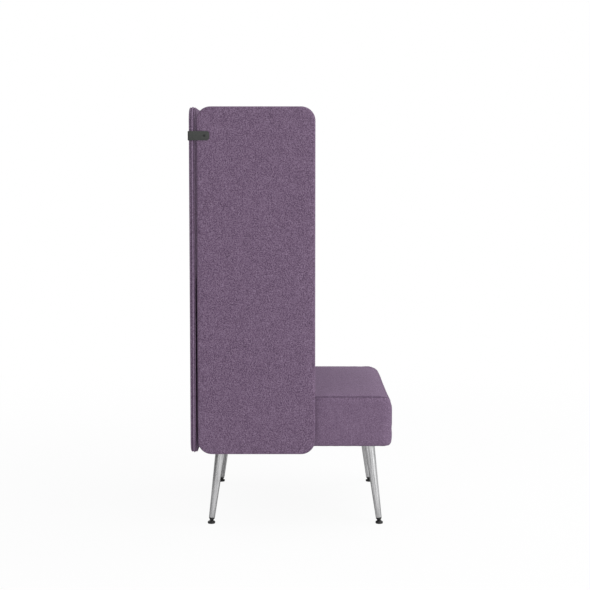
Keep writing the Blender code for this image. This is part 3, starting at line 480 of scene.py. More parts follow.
seatLow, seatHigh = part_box("seat_cover")
seat = {
    **cushion,
    "fill": 0.9,
    "mouthInset": 0.0253,  # side of the seat to the opening under it
    "frontRoll": 0.045,
    "edgeRoll": 0.0026,
    "leastRoll": 0.001,
    "bottomRoll": 0.008,
    "frontPanelInset": 0.060,  # edge to where the profile ends and the flat of the top begins
    "panelInset": 0.034,
    "cornerRadius": 0.030,
    "squareness": 3.0,  # of the rolls: 2 is round
    "crown": 0.006,
    "crownReach": 0.030,  # how far below the seam the crown still counts
    "bulge": 0.0027,
    "fullest": 0.374,
    "seamHeight": 0.440,
    "seamAngle": 2,  # degrees up the roll, at the sides and the back
    "frontSeamAngle": 45,
    "seamStops": (0.0004, 0.0008, 0.0013, 0.0019, 0.0028, 0.0042, 0.0062, 0.009, 0.013, 0.019),
    "seamRows": (16, 3),  # below and above those
    "seamDepth": 0.0045,
    "seamWidth": 0.0011,
    "tuck": 0.0004,
    "tuckReach": 0.010,
    "slack": 0.0008,  # smaller than the frame before the cloth swells
    "cap": 0.0030,
    "evened": 4,  # rounds of smoothing over the top panel
    "seamReach": 0.018,  # from the seam, where that smoothing starts
    "seamHold": 0.008,  # from the seam, how far its stitches still hold the fabric down
    "rings": 26,
    "columns": (8, 42, 42),
    "backCushion": 0.132,  # depth of the back cushion where it stands on the seat
}
seatFront = seatLow.y + seat["bulge"]
seatBack = seatHigh.y
seatHalf = seatHigh.x
backLine = seatBack - seat["backCushion"]


def seatCrown(x, y):
    middle = (seatFront + backLine) / 2
    across = 1 - (x / seatHalf) ** 2
    along = 1 - ((y - middle) / (backLine - middle)) ** 2
    return seat["crown"] * max(0.0, across) * max(0.0, along)


def frontBulge(height):
    up = (height - seatLow.z) / (seat["seamHeight"] - seatLow.z)
    fullest = (seat["fullest"] - seatLow.z) / (seat["seamHeight"] - seatLow.z)
    lean = math.log(0.5) / math.log(fullest)
    return seat["bulge"] * math.sin(math.pi * min(max(up, 0.0), 1.0) ** lean)


def seatProfile(front, depth, bottom, outside):
    # (inset, height) up the seat's wall and over its edge, this deep under the fabric, and where the seam is
    roll = max(seat["frontRoll" if front else "edgeRoll"] - depth, seat["leastRoll"])
    top, bulging = seat["seamHeight"] - depth, front and outside
    line = []
    if outside:
        line.append((seat["mouthInset"], bottom))
        for c, s in arc(0, 90, 8):
            line.append((seat["bottomRoll"] * (1 - s), bottom + seat["bottomRoll"] * (1 - c)))
    start = line[-1][1] if line else bottom
    for step in range(1 if outside else 0, 41):
        height = start + (top - roll - start) * step / 40
        line.append((depth - (frontBulge(height) if bulging else 0), height))
    seam = len(line) - 1 + seat["frontSeamAngle" if front else "seamAngle"]
    for c, s in arc(0, 90, 90, 1):
        height = top - roll * (1 - s ** (2 / seat["squareness"]))
        inset = depth + roll * (1 - max(c, 0) ** (2 / seat["squareness"]))
        line.append((inset - (frontBulge(height) if bulging else 0), height))
    line.append((seat["frontPanelInset" if front else "panelInset"], top))
    return line, seam


def seatRings(depth, rise, outside):
    profiles = []
    for front in (True, False):
        line, seam = seatProfile(front, depth, seatLow.z + rise, outside)
        line, stops = sewnProfile(line, seam, seat, outside)
        profiles.append(line)
    slack = seat["slack"] if outside else 0
    rings = []
    for (frontInset, frontHeight), (sideInset, sideHeight) in zip(*profiles):
        edges = (slack - seatHalf, seatHalf - slack, seatFront + frontInset - sideInset, seatBack - slack)
        ring = []
        for x, y, _, normalY in roundedOutline(edges, sideInset, seat, seat["columns"]):
            height = sideHeight + (frontHeight - sideHeight) * max(0.0, -normalY) ** 2
            crowned = height >= seat["seamHeight"] - seat["crownReach"]
            ring.append((x, y, height + (seatCrown(x, y) if crowned else 0)))
        rings.append(ring)
    edge, count = rings[-1], seat["rings" if outside else "plainRings"]
    top = seat["seamHeight"] - depth
    for step in range(1, count):
        share = 1 - step / count
        rings.append([(x * share, y * share, top + seatCrown(x * share, y * share)) for x, y, _ in edge])
    return rings, (0, 0, top + seatCrown(0, 0)), stops


makeCushion(
    "seat",
    seatRings,
    seat,
    isHeld=lambda p: p[2] < seatLow.z + seat["bottomRoll"] * 0.5,
    bounds=((-seatHalf, seatLow.y, -math.inf), (seatHalf, seatBack, math.inf)),
    turnedIn=lambda p: (p[0], p[1], seatLow.z + seat["flange"]),
    foamStart=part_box("seat_foam")[0].z - seatLow.z,
)


# Back cushion: a crowned front sewn to a boxing band, pulled round its board

backLow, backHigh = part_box("back_cover")
back = {
    **cushion,
    "fill": 0.8,
    "depthLow": seat["backCushion"],
    "depthHigh": 0.100,
    "crown": 0.012,
    "roll": 0.030,
    "rearEdge": 0.002,
    "cornerRadius": 0.038,
    "panelInset": 0.055,
    "flangeInset": 0.040,  # edge to the opening behind the board
    "stapled": 0.004,  # m from the rear face
    "seamAngle": 64,
    "seamStops": (0.0005, 0.001, 0.0016, 0.0024, 0.0036, 0.0055, 0.008, 0.012, 0.017),
    "seamRows": (14, 2),
    "seamDepth": 0.0038,
    "seamWidth": 0.0013,
    "tuck": 0.0020,
    "tuckReach": 0.013,
    "drawnIn": 0.0050,  # how far the middle of each side pulls in
    "slack": 0.0010,
    "cap": 0.0050,
    "evened": 18,
    "seamReach": 0.011,
    "seamHold": 0.010,
    "rings": 24,
    "columns": (9, 44, 30),
}
backMiddle = (backLow.z + backHigh.z) / 2
backHalf = backHigh.x
backHalfHeight = (backHigh.z - backLow.z) / 2


def backFront(x, z, depth):
    # distance from the rear face to the front at this place
    share = (z - backLow.z) / (backHigh.z - backLow.z)
    thick = back["depthLow"] + (back["depthHigh"] - back["depthLow"]) * share
    across = 1 - (x / backHalf) ** 2
    up = 1 - ((z - backMiddle) / backHalfHeight) ** 2
    return thick - back["crown"] + back["crown"] * max(0, across * up) - depth


def backProfile(depth, rear, outside):
    # (inset, distance from the rear face) round the edge to the front, where the seam is, and the whole distance
    roll, edge = back["roll"] - depth, back["rearEdge"]
    thick = back["depthLow"] - back["crown"]
    line = [(back["flangeInset"], 0.0), (depth + edge, rear), (depth, rear + edge)] if outside else [(depth, rear)]
    for step in range(1, 31):
        line.append((depth, rear + edge + (thick - roll - rear - edge) * step / 30))
    seam = len(line) - 1 + back["seamAngle"]
    for c, s in arc(0, 90, 90, 1):
        line.append((depth + roll * (1 - c), thick - roll * (1 - s)))
    line.append((back["panelInset"], thick))
    return line, seam, thick


def backRings(depth, rear, outside):
    line, seam, thick = backProfile(depth, rear, outside)
    line, stops = sewnProfile(line, seam, back, outside)
    slack, drawnIn = (back["slack"], back["drawnIn"]) if outside else (0, 0)
    edges = (slack - backHalf, backHalf - slack, backLow.z, backHigh.z - slack)
    rings = []
    for inset, along in line:
        pull = drawnIn * max(0.0, along / thick) ** 2
        ring = []
        for x, z, normalX, normalZ in roundedOutline(edges, inset, back, back["columns"]):
            x -= normalX * pull * max(0, 1 - ((z - backMiddle) / backHalfHeight) ** 2)
            z -= max(0, normalZ) * pull * max(0, 1 - (x / backHalf) ** 2)  # its lower edge rests on the seat
            ring.append((x, seatBack - along * backFront(x, z, depth) / thick, z))
        rings.append(ring)
    edge, count = rings[-1], back["rings" if outside else "plainRings"]
    for step in range(1, count):
        share = 1 - step / count
        inner = [(x * share, backMiddle + (z - backMiddle) * share) for x, _, z in edge]
        rings.append([(x, seatBack - backFront(x, z, depth), z) for x, z in inner])
    return rings, (0, seatBack - backFront(0, backMiddle, depth), backMiddle), stops


makeCushion(
    "back",
    backRings,
    back,
    isHeld=lambda p: p[1] > seatBack - back["stapled"],
    bounds=((-backHalf, -math.inf, backLow.z), (backHalf, seatBack, backHigh.z)),
    turnedIn=lambda p: (p[0], seatBack - back["flange"], p[2]),
    foamStart=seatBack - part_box("back_foam")[1].y,
)


# Screens: a board between two padded covers that meet at a piped seam

screen = {
    "cornerRadius": 0.047,
    "leastRadius": 0.006,
    "cornerSteps": 12,
    "cell": 0.016,
    "board": 0.012,
    "boardInset": 0.011,
    "halfThickness": 0.012,
    "pipingRadius": 0.0033,
    "pipingProud": 0.0020,
    "pipingHeld": 28,  # degrees round the piping that its two covers reach
    "pipingSides": 20,
    "lipRise": 0.0068,  # half thickness where the padding reaches furthest out
    "lipBack": 0.0052,
    "lipHalf": 0.0034,
    "rollDepth": 0.0052,
    "crownRise": 0.0010,
    "crownReach": 0.040,
    "pressed": 0.0071,  # half thickness of the rear screen's inner pad where a side screen presses on it
    "pressedFrom": 0.037,  # from the end, where the padding starts to give
    "pressedBy": 0.025,
}


def padSections():
    # (inset from the piping's ridge, half thickness) from the board's pocket, round the piping, out over the lip
    radius, proud, lip = screen["pipingRadius"], screen["pipingProud"], screen["lipRise"]
    groove = radius + fitGap
    first = math.degrees(math.asin(fitGap / 2 / groove))
    sections = [(screen["boardInset"], screen["board"] / 2 + fitGap), (screen["boardInset"], fitGap / 2)]
    sections += [(radius + groove * c, groove * s) for c, s in arc(first, screen["pipingHeld"], 5)]
    for c, s in arc(90, 0, 7)[:-1]:
        sections.append((proud + screen["lipBack"] * (1 - c), lip - screen["lipHalf"] * s))
    face = screen["halfThickness"] - screen["crownRise"]
    for c, s in arc(0, 90, 10):
        sections.append((proud + screen["rollDepth"] * (1 - c), lip + (face - lip) * s))
    for step in range(1, 8):
        share = (step / 7) ** 2
        rise = face + screen["crownRise"] * (1 - (1 - share) ** 3)
        sections.append((proud + screen["rollDepth"] + screen["crownReach"] * share, rise))
    return sections


def pressedShare(fromEnd):
    share = (screen["pressedFrom"] - fromEnd) / (screen["pressedFrom"] - screen["pressedBy"])
    return (1 - math.cos(math.pi * min(max(share, 0), 1))) / 2


def makeScreen(name, turn):
    low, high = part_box(f"{name}_screen_welt")
    width, height = high.y - low.y if turn else high.x - low.x, high.z - low.z
    edges = (-width / 2, width / 2, -height / 2, height / 2)
    steps = (screen["cornerSteps"], round(width / screen["cell"]), round(height / screen["cell"]))
    place = Matrix.Translation((low + high) / 2) @ Matrix.Rotation(turn, 4, "Z")
    for face, side in (("inner", -1), ("outer", 1)):
        rings = []
        for inset, rise in padSections():
            ring = []
            for x, z, *_ in roundedOutline(edges, inset, screen, steps):
                give = pressedShare(width / 2 - abs(x)) if (name, face) == ("rear", "inner") else 0
                ring.append(place @ Vector((x, side * (rise + (min(rise, screen["pressed"]) - rise) * give), z)))
            rings.append(ring)
        covered = f"{name}_screen_{face}_cover"
        pad = makePiece(f"{name}_screen_{face}_pad", loft(rings), screenWoolFelt, "melange_fabric", covered)

    radius = screen["pipingRadius"]
    section = [(radius * c, radius * s) for c, s in circle(screen["pipingSides"])]
    rings = [
        [place @ Vector((x + normalX * out, across, z + normalZ * out)) for out, across in section]
        for x, z, normalX, normalZ in roundedOutline(edges, radius, screen, steps)
    ]
    form = loft(rings, closed=True)
    makePiece(f"{name}_screen_piping", form, pipingWoolFelt, "welt_fabric", f"{name}_screen_welt")


for name, turn in (("left", -math.pi / 2), ("right", math.pi / 2), ("rear", 0.0)):
    makeScreen(name, turn)
print("screens made")


# Corner clips: bent steel straps with countersunk screws

clip = {
    "thickness": 0.002,
    "bend": 0.003,
    "endRadius": 0.010,
    "endShare": 0.55,  # of the thickness, left where the end's edge is rounded
    "edge": 0.0004,
    "screwInset": 0.017,
    "sharpAngle": 35,
}
clipScrew = {
    "radius": 0.0021,
    "length": 0.0165,
    "point": 0.002,
    "pointRadius": 0.00042,
    "headRadius": 0.0038,
    "head": 0.0016,
    "socketRadius": 0.0017,
    "socket": 0.0013,
    "drillPoint": 0.0004,  # under the hexagon
    "drillRadius": 0.000255,
    "edge": 0.00025,
    "sides": 48,
}


def hexagonShare(angle):
    within = (angle + math.pi / 6) % (math.pi / 3) - math.pi / 6
    return math.cos(math.pi / 6) / math.cos(math.pi / 6 - abs(within))


def spindle(sections, sides):
    # rings of (height, radius, corner) along Z; a corner makes a hexagon of that size, turned down to the radius
    rings = []
    for height, radius, corner in sections:
        ring = []
        for k, (c, s) in enumerate(circle(sides)):
            reach = radius
            if corner:
                turnedDown = (corner - radius) / 5  # a chamfer takes less off the flats than off the corners
                reach = min(radius, corner * hexagonShare(2 * math.pi * k / sides) - turnedDown)
            ring.append((reach * c, reach * s, height))
        rings.append(ring)
    return rings


def strapRings(side, low, high):
    # closed rings round the metal, from one rounded end of the strap to the other
    outerX, rearEnd = (high.x, low.x) if side > 0 else (-low.x, -high.x)
    thick, bend, endRadius = clip["thickness"], clip["bend"], clip["endRadius"]
    insideX, insideY = outerX - thick, high.y - thick
    half, level = (high.z - low.z) / 2, (high.z + low.z) / 2
    straight, across = insideY - bend - low.y, insideX - bend - rearEnd
    stops = [endRadius * (1 - c) for c, _ in arc(0, 90, 10)]
    path = []  # (x, y, normal x, normal y, distance from the nearer end)
    for stop in stops + [straight * 0.4, straight * 0.7, straight]:
        path.append((insideX, low.y + stop, 1, 0, stop))
    for c, s in arc(0, 90, 8, 1):
        path.append((insideX - bend + bend * c, insideY - bend + bend * s, c, s, 1))
    for stop in [across * 0.7, across * 0.4] + stops[::-1]:
        path.append((rearEnd + stop, insideY, 0, 1, stop))
    rings = []
    for x, y, normalX, normalY, stop in path:
        tall = half - endRadius + math.sqrt(endRadius**2 - (endRadius - min(stop, endRadius)) ** 2)
        ease = min(1.0, clip["endShare"] + (1 - clip["endShare"]) * stop / clip["edge"])
        edges = (thick / 2 * (1 - ease), thick / 2 * (1 + ease), -tall, tall)
        corner = {"cornerRadius": clip["edge"] * ease, "leastRadius": 0}
        section = [(out, up) for out, up, *_ in roundedOutline(edges, 0, corner, (3, 1, 1))]
        rings.append([(side * (x + normalX * out), y + normalY * out, level + up) for out, up in section])
    return rings


def screwForm(sections, place):
    rings = spindle(sections, clipScrew["sides"])
    return loft([[place @ Vector(p) for p in ring] for ring in rings])


def makeClip(name, side):
    low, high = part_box(f"{name}_clip")
    strap = makePiece(f"{name}_corner_clip", loft(strapRings(side, low, high)), greyPowderCoat)
    level, inset = (high.z + low.z) / 2, clip["screwInset"]
    outerX, rearEnd = (high.x, low.x) if side > 0 else (low.x, high.x)
    radius, headRadius, edge = clipScrew["radius"], clipScrew["headRadius"], clipScrew["edge"]
    socket, socketRadius = clipScrew["socket"], clipScrew["socketRadius"]
    top, over = -fitGap, 0.001  # the cutter reaches over both faces
    end = top - clipScrew["length"]
    sunk = [
        (over, headRadius + 2 * fitGap, 0),
        (top, headRadius + 2 * fitGap, 0),
        (top - clipScrew["head"], radius + fitGap, 0),
        (-clip["thickness"] - over, radius + fitGap, 0),
    ]
    screw = [
        (top - socket - clipScrew["drillPoint"], clipScrew["drillRadius"], 0),
        (top - socket, socketRadius, socketRadius),
        (top - edge, socketRadius, socketRadius),
        (top, socketRadius + edge, socketRadius + edge),
        (top, headRadius - edge, 0),
        (top - edge * 0.3, headRadius - edge * 0.3, 0),
        (top - edge, headRadius, 0),
        (top - clipScrew["head"], radius, 0),
        (end + clipScrew["point"], radius, 0),
        (end, clipScrew["pointRadius"], 0),
    ]
    cutters = []
    for wing, at, outward in (
        ("side", (outerX, low.y + inset, level), (side, 0, 0)),
        ("rear", (rearEnd + side * inset, high.y, level), (0, 1, 0)),
    ):
        place = Matrix.Translation(at) @ Vector(outward).to_track_quat("Z", "Y").to_matrix().to_4x4()
        cutters.append(makePiece(f"{name}_{wing}_sink", screwForm(sunk, place), greyPowderCoat))
        cut = strap.modifiers.new("countersink", "BOOLEAN")
        cut.operation, cut.object = "DIFFERENCE", cutters[-1]
        made, replaced = f"{name}_clip_{wing}_socket_screw", f"{name}_clip_{wing}_screw"
        makePiece(made, screwForm(screw, place), blackOxideSteel, "black_screw_steel", replaced, sharpAngle=30)
    bpy.context.view_layer.update()
    cutMesh = bpy.data.meshes.new_from_object(strap.evaluated_get(bpy.context.evaluated_depsgraph_get()))
    strap.modifiers.clear()
    strap.data = cutMesh
    for cutter in cutters:
        bpy.data.objects.remove(cutter)
    cutMesh.shade_smooth()
    cutMesh.set_sharp_from_angle(angle=math.radians(clip["sharpAngle"]))
    settle(strap, f"{name}_clip", "chair")


for name, side in (("left", 1), ("right", -1)):
    makeClip(name, side)
print("clips made")


# Legs and levelling glides, each about its own leaning axis

leg = {
    "topRadius": 0.017,
    "bottomRadius": 0.010,
    "wall": 0.0015,
    "lowerEnd": 0.0195,
    "rim": 0.0004,
    "cap": 0.014,
    "studRadius": 0.005,
    "studLength": 0.036,
    "sides": 96,
}
glide = {
    "ballHeight": 0.0070,
    "ballRadius": 0.0040,
    "neckRadius": 0.0025,
    "hexRadius": 0.0075,
    "hexHeight": 0.0038,
    "hexEdge": 0.0005,
    "studRadius": 0.0039,
    "studLength": 0.028,
    "studSides": 96,
    "threadPitch": 0.00125,
    "threadDepth": 0.0006,
    "threadRunout": 0.0012,
    "threadSteps": 6,  # rings in one turn
    "threadRelief": 0.0002,  # plain part over the hexagon
    "collarRadius": 0.00975,
    "collarHeight": 0.0040,
    "collarEdge": 0.0011,
    "collarRim": 0.0003,
    "plugLength": 0.030,
    "plugRoot": 0.0001,
    "plugEdge": 0.0008,
    "footRadius": 0.0125,
    "footRim": 0.0066,
    "footEdge": 0.00088,
    "footShoulder": 0.0014,
    "bossRadius": 0.0074,
    "bossTop": 0.0027,  # above the middle of the ball
    "bossEdge": 0.0006,
    "bossRoot": 0.0012,
    "bossFlare": (0.0004, 0.0009),  # out and up, where the boss runs out into the disc
    "mouthRadius": 0.0036,
    "sides": 64,
}
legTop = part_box("dust_cover")[0].z - fitGap


def threadRings(start, length):
    # one helix as rings whose radius follows the thread's flanks, fading out at both ends
    rings, sides = [], glide["studSides"]
    count = int(length / glide["threadPitch"] * glide["threadSteps"])
    for row in range(count + 1):
        height = length * row / count
        fade = min(1, height / glide["threadRunout"], (length - height) / glide["threadRunout"])
        ring = []
        for k, (c, s) in enumerate(circle(sides)):
            flank = abs(2 * ((height / glide["threadPitch"] + k / sides) % 1) - 1)
            reach = glide["studRadius"] - glide["threadDepth"] * flank * max(0.0, fade)
            ring.append((reach * c, reach * s, start + height))
        rings.append(ring)
    return rings


def makeLeg(name):
    footLow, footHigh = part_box(f"{name}_glide_foot")
    ball = (footLow + footHigh) / 2
    ball.z = glide["ballHeight"]
    joint = next(j for j in frame["joints"] if j["name"] == f"{name}_glide_travel")
    up = -Vector(joint["axis"]).normalized()
    turn = up.to_track_quat("Z", "Y").to_matrix().to_4x4()
    place = Matrix.Translation(ball) @ turn
    lean = 1 / up.z
    legEnd = (leg["lowerEnd"] - glide["ballHeight"]) * lean
    length = (legTop - leg["lowerEnd"]) * lean

    def radiusAt(along):
        return leg["bottomRadius"] + (leg["topRadius"] - leg["bottomRadius"]) * along / length

    def levelAt(r, c, s):
        # how far up the axis the level underside of the seat is, at this place across it
        return (legTop - ball.z - (turn @ Vector((r * c, r * s, 0))).z) * lean

    # tube: cavity, rim, outside, then the level cut under the seat and the hanger stud
    around, rim, wall, stud = circle(leg["sides"]), leg["rim"], leg["wall"], leg["studRadius"]
    cavity, inside = length - leg["cap"], radiusAt(0) - wall
    profile = [(radiusAt(cavity) - wall, legEnd + cavity), (inside, legEnd + rim)]
    profile += [(inside + rim * (1 - c), legEnd + rim * (1 - s)) for c, s in arc(0, 90, 5, 1)]
    profile += [(radiusAt(0) - rim * (1 - s), legEnd + rim * (1 - c)) for c, s in arc(0, 90, 5)]
    rings = [[(r * c, r * s, z) for c, s in around] for r, z in profile]
    cut = []
    for c, s in around:
        along = length
        for _ in range(4):
            along = levelAt(radiusAt(along), c, s) - legEnd
        cut.append((radiusAt(along) * c, radiusAt(along) * s, legEnd + along))
    rings.append([tuple(a + (b - a) * 0.5 for a, b in zip(p, q)) for p, q in zip(rings[-1], cut)])
    rings.append(cut)
    rings.append([(stud * c, stud * s, levelAt(stud, c, s)) for c, s in around])
    rings.append([(stud * c, stud * s, legEnd + length + leg["studLength"]) for c, s in around])
    makePiece(f"{name}_tube_leg", loft(rings), satinSteel, "satin_steel", f"{name}_leg", sharpAngle=35, place=place)

    # collar pressed into the tube's end
    collarTop = legEnd - fitGap
    collarBottom = collarTop - glide["collarHeight"]
    bore = glide["studRadius"] + fitGap
    plugTop = legEnd + glide["plugLength"]
    collar = filleted([
        (bore, collarBottom),
        (glide["collarRadius"], collarBottom, glide["collarEdge"]),
        (glide["collarRadius"], collarTop, glide["collarRim"]),
        (inside - fitGap, collarTop, glide["plugRoot"]),
        (radiusAt(glide["plugLength"]) - wall - fitGap, plugTop, glide["plugEdge"]),
        (bore, plugTop),
    ])
    form, replaced = turned(collar, glide["sides"]), f"{name}_leg_insert"
    makePiece(f"{name}_leg_collar", form, mouldedNylon, "black_nylon", replaced, sharpAngle=30, place=place)

    # stud with a ball end, a hexagon for the spanner and a thread up into the collar
    hexTop = collarBottom - fitGap
    hexLow = hexTop - glide["hexHeight"]
    hexagon, edge = glide["hexRadius"], glide["hexEdge"]
    ballRadius, neck = glide["ballRadius"], glide["neckRadius"]
    sections = [(-ballRadius * c, ballRadius * s, 0) for c, s in arc(0, 135, 12, 1)]
    sections += [
        (math.sqrt(ballRadius**2 - neck**2), neck, 0),
        (hexLow, neck, 0),
        (hexLow, hexagon - edge, hexagon),
        (hexLow + edge, hexagon, hexagon),
        (hexTop - edge, hexagon, hexagon),
        (hexTop, hexagon - edge, hexagon),
        (hexTop, glide["studRadius"], 0),
    ]
    threaded = glide["studLength"] - glide["threadRelief"]
    rings = spindle(sections, glide["studSides"]) + threadRings(hexTop + glide["threadRelief"], threaded)[1:]
    made, replaced, body = f"{name}_ball_stud", f"{name}_glide_stud", f"{name}_stud"
    makePiece(made, loft(rings), blackOxideSteel, "black_screw_steel", replaced, body, sharpAngle=35, place=place)

    # foot: a disc with a boss that snaps over the ball
    socket, low = ballRadius + fitGap, -glide["ballHeight"]
    mouth = math.degrees(math.asin(glide["mouthRadius"] / socket))
    rimTop = glide["footRim"] + low
    profile = [(0, -socket)] + [(socket * s, -socket * c) for c, s in arc(0, 180 - mouth, 11, 1)]
    flareOut, flareUp = glide["bossFlare"]
    profile += filleted([
        (glide["mouthRadius"], glide["bossTop"]),
        (glide["bossRadius"], glide["bossTop"], glide["bossEdge"]),
        (glide["bossRadius"] + flareOut, rimTop + flareUp, glide["bossRoot"]),
        (glide["footRadius"], rimTop, glide["footShoulder"]),
        (glide["footRadius"], low, glide["footEdge"]),
        (0, low),
    ])
    form, place = turned(profile, glide["sides"]), Matrix.Translation(ball)
    made, replaced, body = f"{name}_foot_disc", f"{name}_glide_foot", f"{name}_foot"
    makePiece(made, form, mouldedNylon, "black_nylon", replaced, body, sharpAngle=30, place=place)


for name in corners:
    makeLeg(name)
print("legs and glides made")


# Dust cover: lining stretched under the frame, its edge folded in and stapled

lining = {
    "thickness": 0.0006,
    "hem": 0.018,
    "hemEdge": 0.0005,
    "hemInsets": (0, 0.0004, 0.004, 0.009, 0.014),
    "ringGap": 0.02,
    "cornerRadius": 0.016,
    "leastRadius": 0.004,
    "cell": 0.010,
    "spacing": 0.040,  # of the staples
    "scallop": 0.0004,
    "sag": 0.0002,
    "sagReach": 0.1,
}
staple = {
    "length": 0.011,
    "wire": 0.0011,
    "sides": 8,
    "inset": 0.009,
    "margin": 0.03,  # from the first staple of a row to the corner
    "crooked": 9,  # degrees
    # share of the length, height in wires and how far the section has turned, from one tip to the other
    "bends": ((-0.5, 0.7, 1), (-0.5, 0.25, 0.5), (-0.44, 0, 0), (0.44, 0, 0), (0.5, 0.25, 0.5), (0.5, 0.7, 1)),
}


def makeLining():
    low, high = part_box("dust_cover")
    hem = lining["hem"]
    steps = (6, round((high.x - low.x) / lining["cell"]), round((high.y - low.y) / lining["cell"]))
    insets = [*lining["hemInsets"], hem - lining["hemEdge"], hem]
    insets += [hem + 0.002 + lining["ringGap"] * k for k in range(13)]
    edges, upper, lower = (low.x, high.x, low.y, high.y), [], []
    for inset in insets:
        folded = inset < hem
        thick = lining["thickness"] * (2 if folded else 1)
        drop = lining["sag"] * min(1, max(0, inset - hem) / lining["sagReach"])
        above, below = [], []
        for x, y, *_ in roundedOutline(edges, inset, lining, steps):
            wave = math.sin(math.pi * (x + y) / lining["spacing"]) ** 2 * lining["scallop"] * folded
            z = high.z - wave - drop
            above.append((x, y, z))
            below.append((x, y, z - thick * (1 if inset else 0.7)))  # rounded at the fold
        upper.append(above)
        lower.append(below)
    form = loft(upper[::-1] + lower)
    cloth = makePiece("seat_lining", form, spunbondLining, "black_cambric", "dust_cover", sharpAngle=60)


def makeStaples():
    low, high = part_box("dust_cover")
    random.seed(7)
    length, wire, inset = staple["length"], staple["wire"], staple["inset"]
    level = high.z - lining["thickness"] * 2 - wire / 2
    points, faces = [], []
    for x0, y0, x1, y1 in (
        (low.x, low.y + inset, high.x, low.y + inset),
        (low.x, high.y - inset, high.x, high.y - inset),
        (low.x + inset, low.y, low.x + inset, high.y),
        (high.x - inset, low.y, high.x - inset, high.y),
    ):
        span = math.hypot(x1 - x0, y1 - y0)
        count = round((span - 2 * staple["margin"]) / lining["spacing"])
        for k in range(count + 1):
            share = (staple["margin"] + (span - 2 * staple["margin"]) * k / count) / span
            crooked = math.radians(random.uniform(-staple["crooked"], staple["crooked"]))
            heading = math.atan2(y1 - y0, x1 - x0) + crooked
            x, y = x0 + (x1 - x0) * share, y0 + (y1 - y0) * share
            place = Matrix.Translation((x, y, level)) @ Matrix.Rotation(heading, 4, "Z")
            rings = []
            for along, height, tilt in staple["bends"]:
                ring = []
                for c, s in circle(staple["sides"]):
                    across, up = wire / 2 * c, wire / 2 * s
                    forward = along * length + (up if along < 0 else -up) * tilt
                    ring.append(place @ Vector((forward, across, height * wire + up * (1 - tilt))))
                rings.append(ring)
            more, moreFaces = loft(rings)
            faces += [tuple(len(points) + k for k in face) for face in moreFaces]
            points += more
    makePiece("seat_lining_staples", (points, faces), zincPlate, "zinc_plated_steel")


makeLining()
makeStaples()
print("lining made")


# CAD nodes that stay, with their own finishes

for name, node in nodes.items():
    if node.hide_render:
        continue
    wooden = name.endswith(("_rail", "_deck", "_block", "_board"))
    node.data.materials.clear()
    node.data.materials.append(birchPlywood if wooden else zincPlate)
    node.modifiers.new("weld", "WELD").merge_threshold = 0.00001
print("kept nodes finished:", sum(not node.hide_render for node in nodes.values()))


# Floor, lights and camera

studio = {
    "floor": "#f2f2f2",
    "floorRadius": 14,
    "floorGlow": 0.93,  # share of plain white that the camera sees in the floor under the chair
    "glowStart": 0.9,  # m from the chair's middle, where that share starts to rise
    "glowEnd": 3.2,  # m, where the floor is plain white
    "world": 0.50,
    "lampAim": (0, 0, 0.6),
    "lamps": {  # place, width and W
        "key": ((-2.7, -3.0, 2.0), 2.2, 63),
        "fill": ((-3.8, 2.2, 1.6), 2.5, 27),
        "rim": ((3.2, 2.6, 2.4), 2.5, 30),
        "top": ((0.0, -1.6, 3.6), 3.0, 56),
    },
    "flag": "#747474",
    "flagAt": (-1.0, 2.2, 0.9),
    "flagSize": (6.8, 2.4),
}

# Seamless paper, uncoated: matt, and burnt out to white away from the chair.
material, tree, shader, where = newMaterial("mattSeamlessPaper")
plug(tree, shader, {"Base Color": linear(studio["floor"]), "Roughness": 0.9, "Specular IOR Level": 0.0})
seen = addNode(tree, "LightPath", {})["Is Camera Ray"]
glow = addNode(tree, "Emission", {"Color": (1, 1, 1, 1), "Strength": 1.0})
away = addNode(tree, "VectorMath", {0: where}, operation="LENGTH")
spread = {"From Min": studio["glowStart"], "From Max": studio["glowEnd"], "To Min": studio["floorGlow"]}
spread |= {"Value": away["Value"], "To Max": 1.0}
rise = addNode(tree, "MapRange", spread, interpolation_type="SMOOTHSTEP")
share = addNode(tree, "Math", {0: seen, 1: rise[0]}, operation="MULTIPLY")
mixed = addNode(tree, "MixShader", {0: share[0], 1: shader.outputs[0], 2: glow[0]})
plug(tree, tree.nodes["Material Output"], {"Surface": mixed[0]})
addMesh("floor", turned([(0, 0), (studio["floorRadius"], 0)], 96), material)

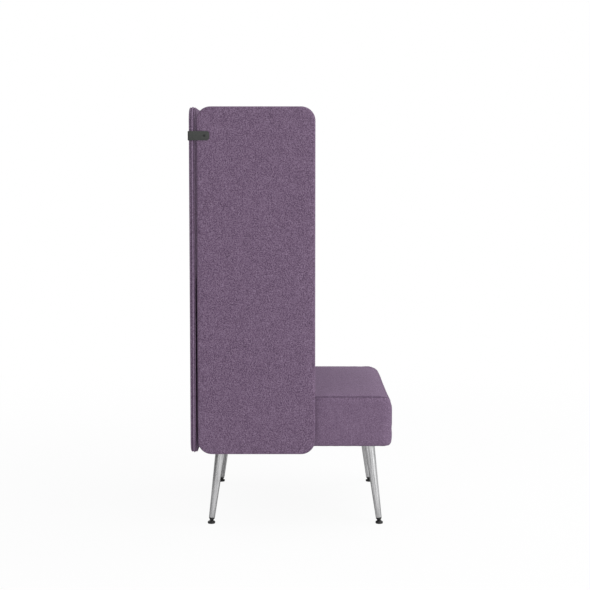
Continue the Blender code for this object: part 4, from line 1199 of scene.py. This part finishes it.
# The world is plain white wherever it is seen, and dimmer as a light.
world = bpy.data.worlds.new("studio")
scene.world = world
world.use_nodes = True
tree = world.node_tree
path = addNode(tree, "LightPath", {})
plain = addNode(tree, "Math", {0: path["Is Camera Ray"], 1: path["Is Glossy Ray"]}, operation="MAXIMUM")
plain = addNode(tree, "Math", {0: plain[0], 1: path["Is Transmission Ray"]}, operation="MAXIMUM")
strength = addNode(tree, "MapRange", {"Value": plain[0], "To Min": studio["world"], "To Max": 1.0})
plug(tree, tree.nodes["Background"], {"Color": (1, 1, 1, 1), "Strength": strength[0]})

for name, (place, width, power) in studio["lamps"].items():
    data = bpy.data.lights.new(name, "AREA")
    data.shape, data.size, data.size_y = "RECTANGLE", width, width
    data.energy = power
    lamp = addObject(name, data)
    lamp.location = place
    lamp.rotation_euler = (Vector(studio["lampAim"]) - lamp.location).to_track_quat("-Z", "Y").to_euler()
    lamp.visible_glossy = name != "fill"  # the fill would draw a white line down each leg

# Grey card, cut and left uncoated, stands beside the set. Only the metal's reflections see it: it draws the edge
# of each leg.
(x, y, z), (width, height) = studio["flagAt"], studio["flagSize"]
points = [(x + a * width / 2, y, z + b * height / 2) for a, b in ((-1, -1), (1, -1), (1, 1), (-1, 1))]
material, tree, shader, _ = newMaterial("uncoatedGreyCard")
plug(tree, shader, {"Base Color": linear(studio["flag"]), "Roughness": 1.0})
flag = addMesh("flag", (points, [(0, 1, 2, 3)]), material)
flag.visible_camera = flag.visible_diffuse = flag.visible_shadow = flag.visible_transmission = False

view = {"distance": 4.3683, "height": 1.1718, "along": -0.0122, "pitch": 3.997, "lens": 74.80, "shift": -0.056}
cameraData = bpy.data.cameras.new("camera")
cameraData.sensor_width, cameraData.lens, cameraData.shift_y = 36.0, view["lens"], view["shift"]
cameraData.clip_start, cameraData.clip_end = 0.05, 60
camera = addObject("camera", cameraData)
camera.location = (-view["distance"], view["along"], view["height"])
camera.rotation_euler = (math.radians(90 - view["pitch"]), 0, math.radians(-90))
scene.camera = camera
scene.view_settings.view_transform = "Standard"
print("studio ready")
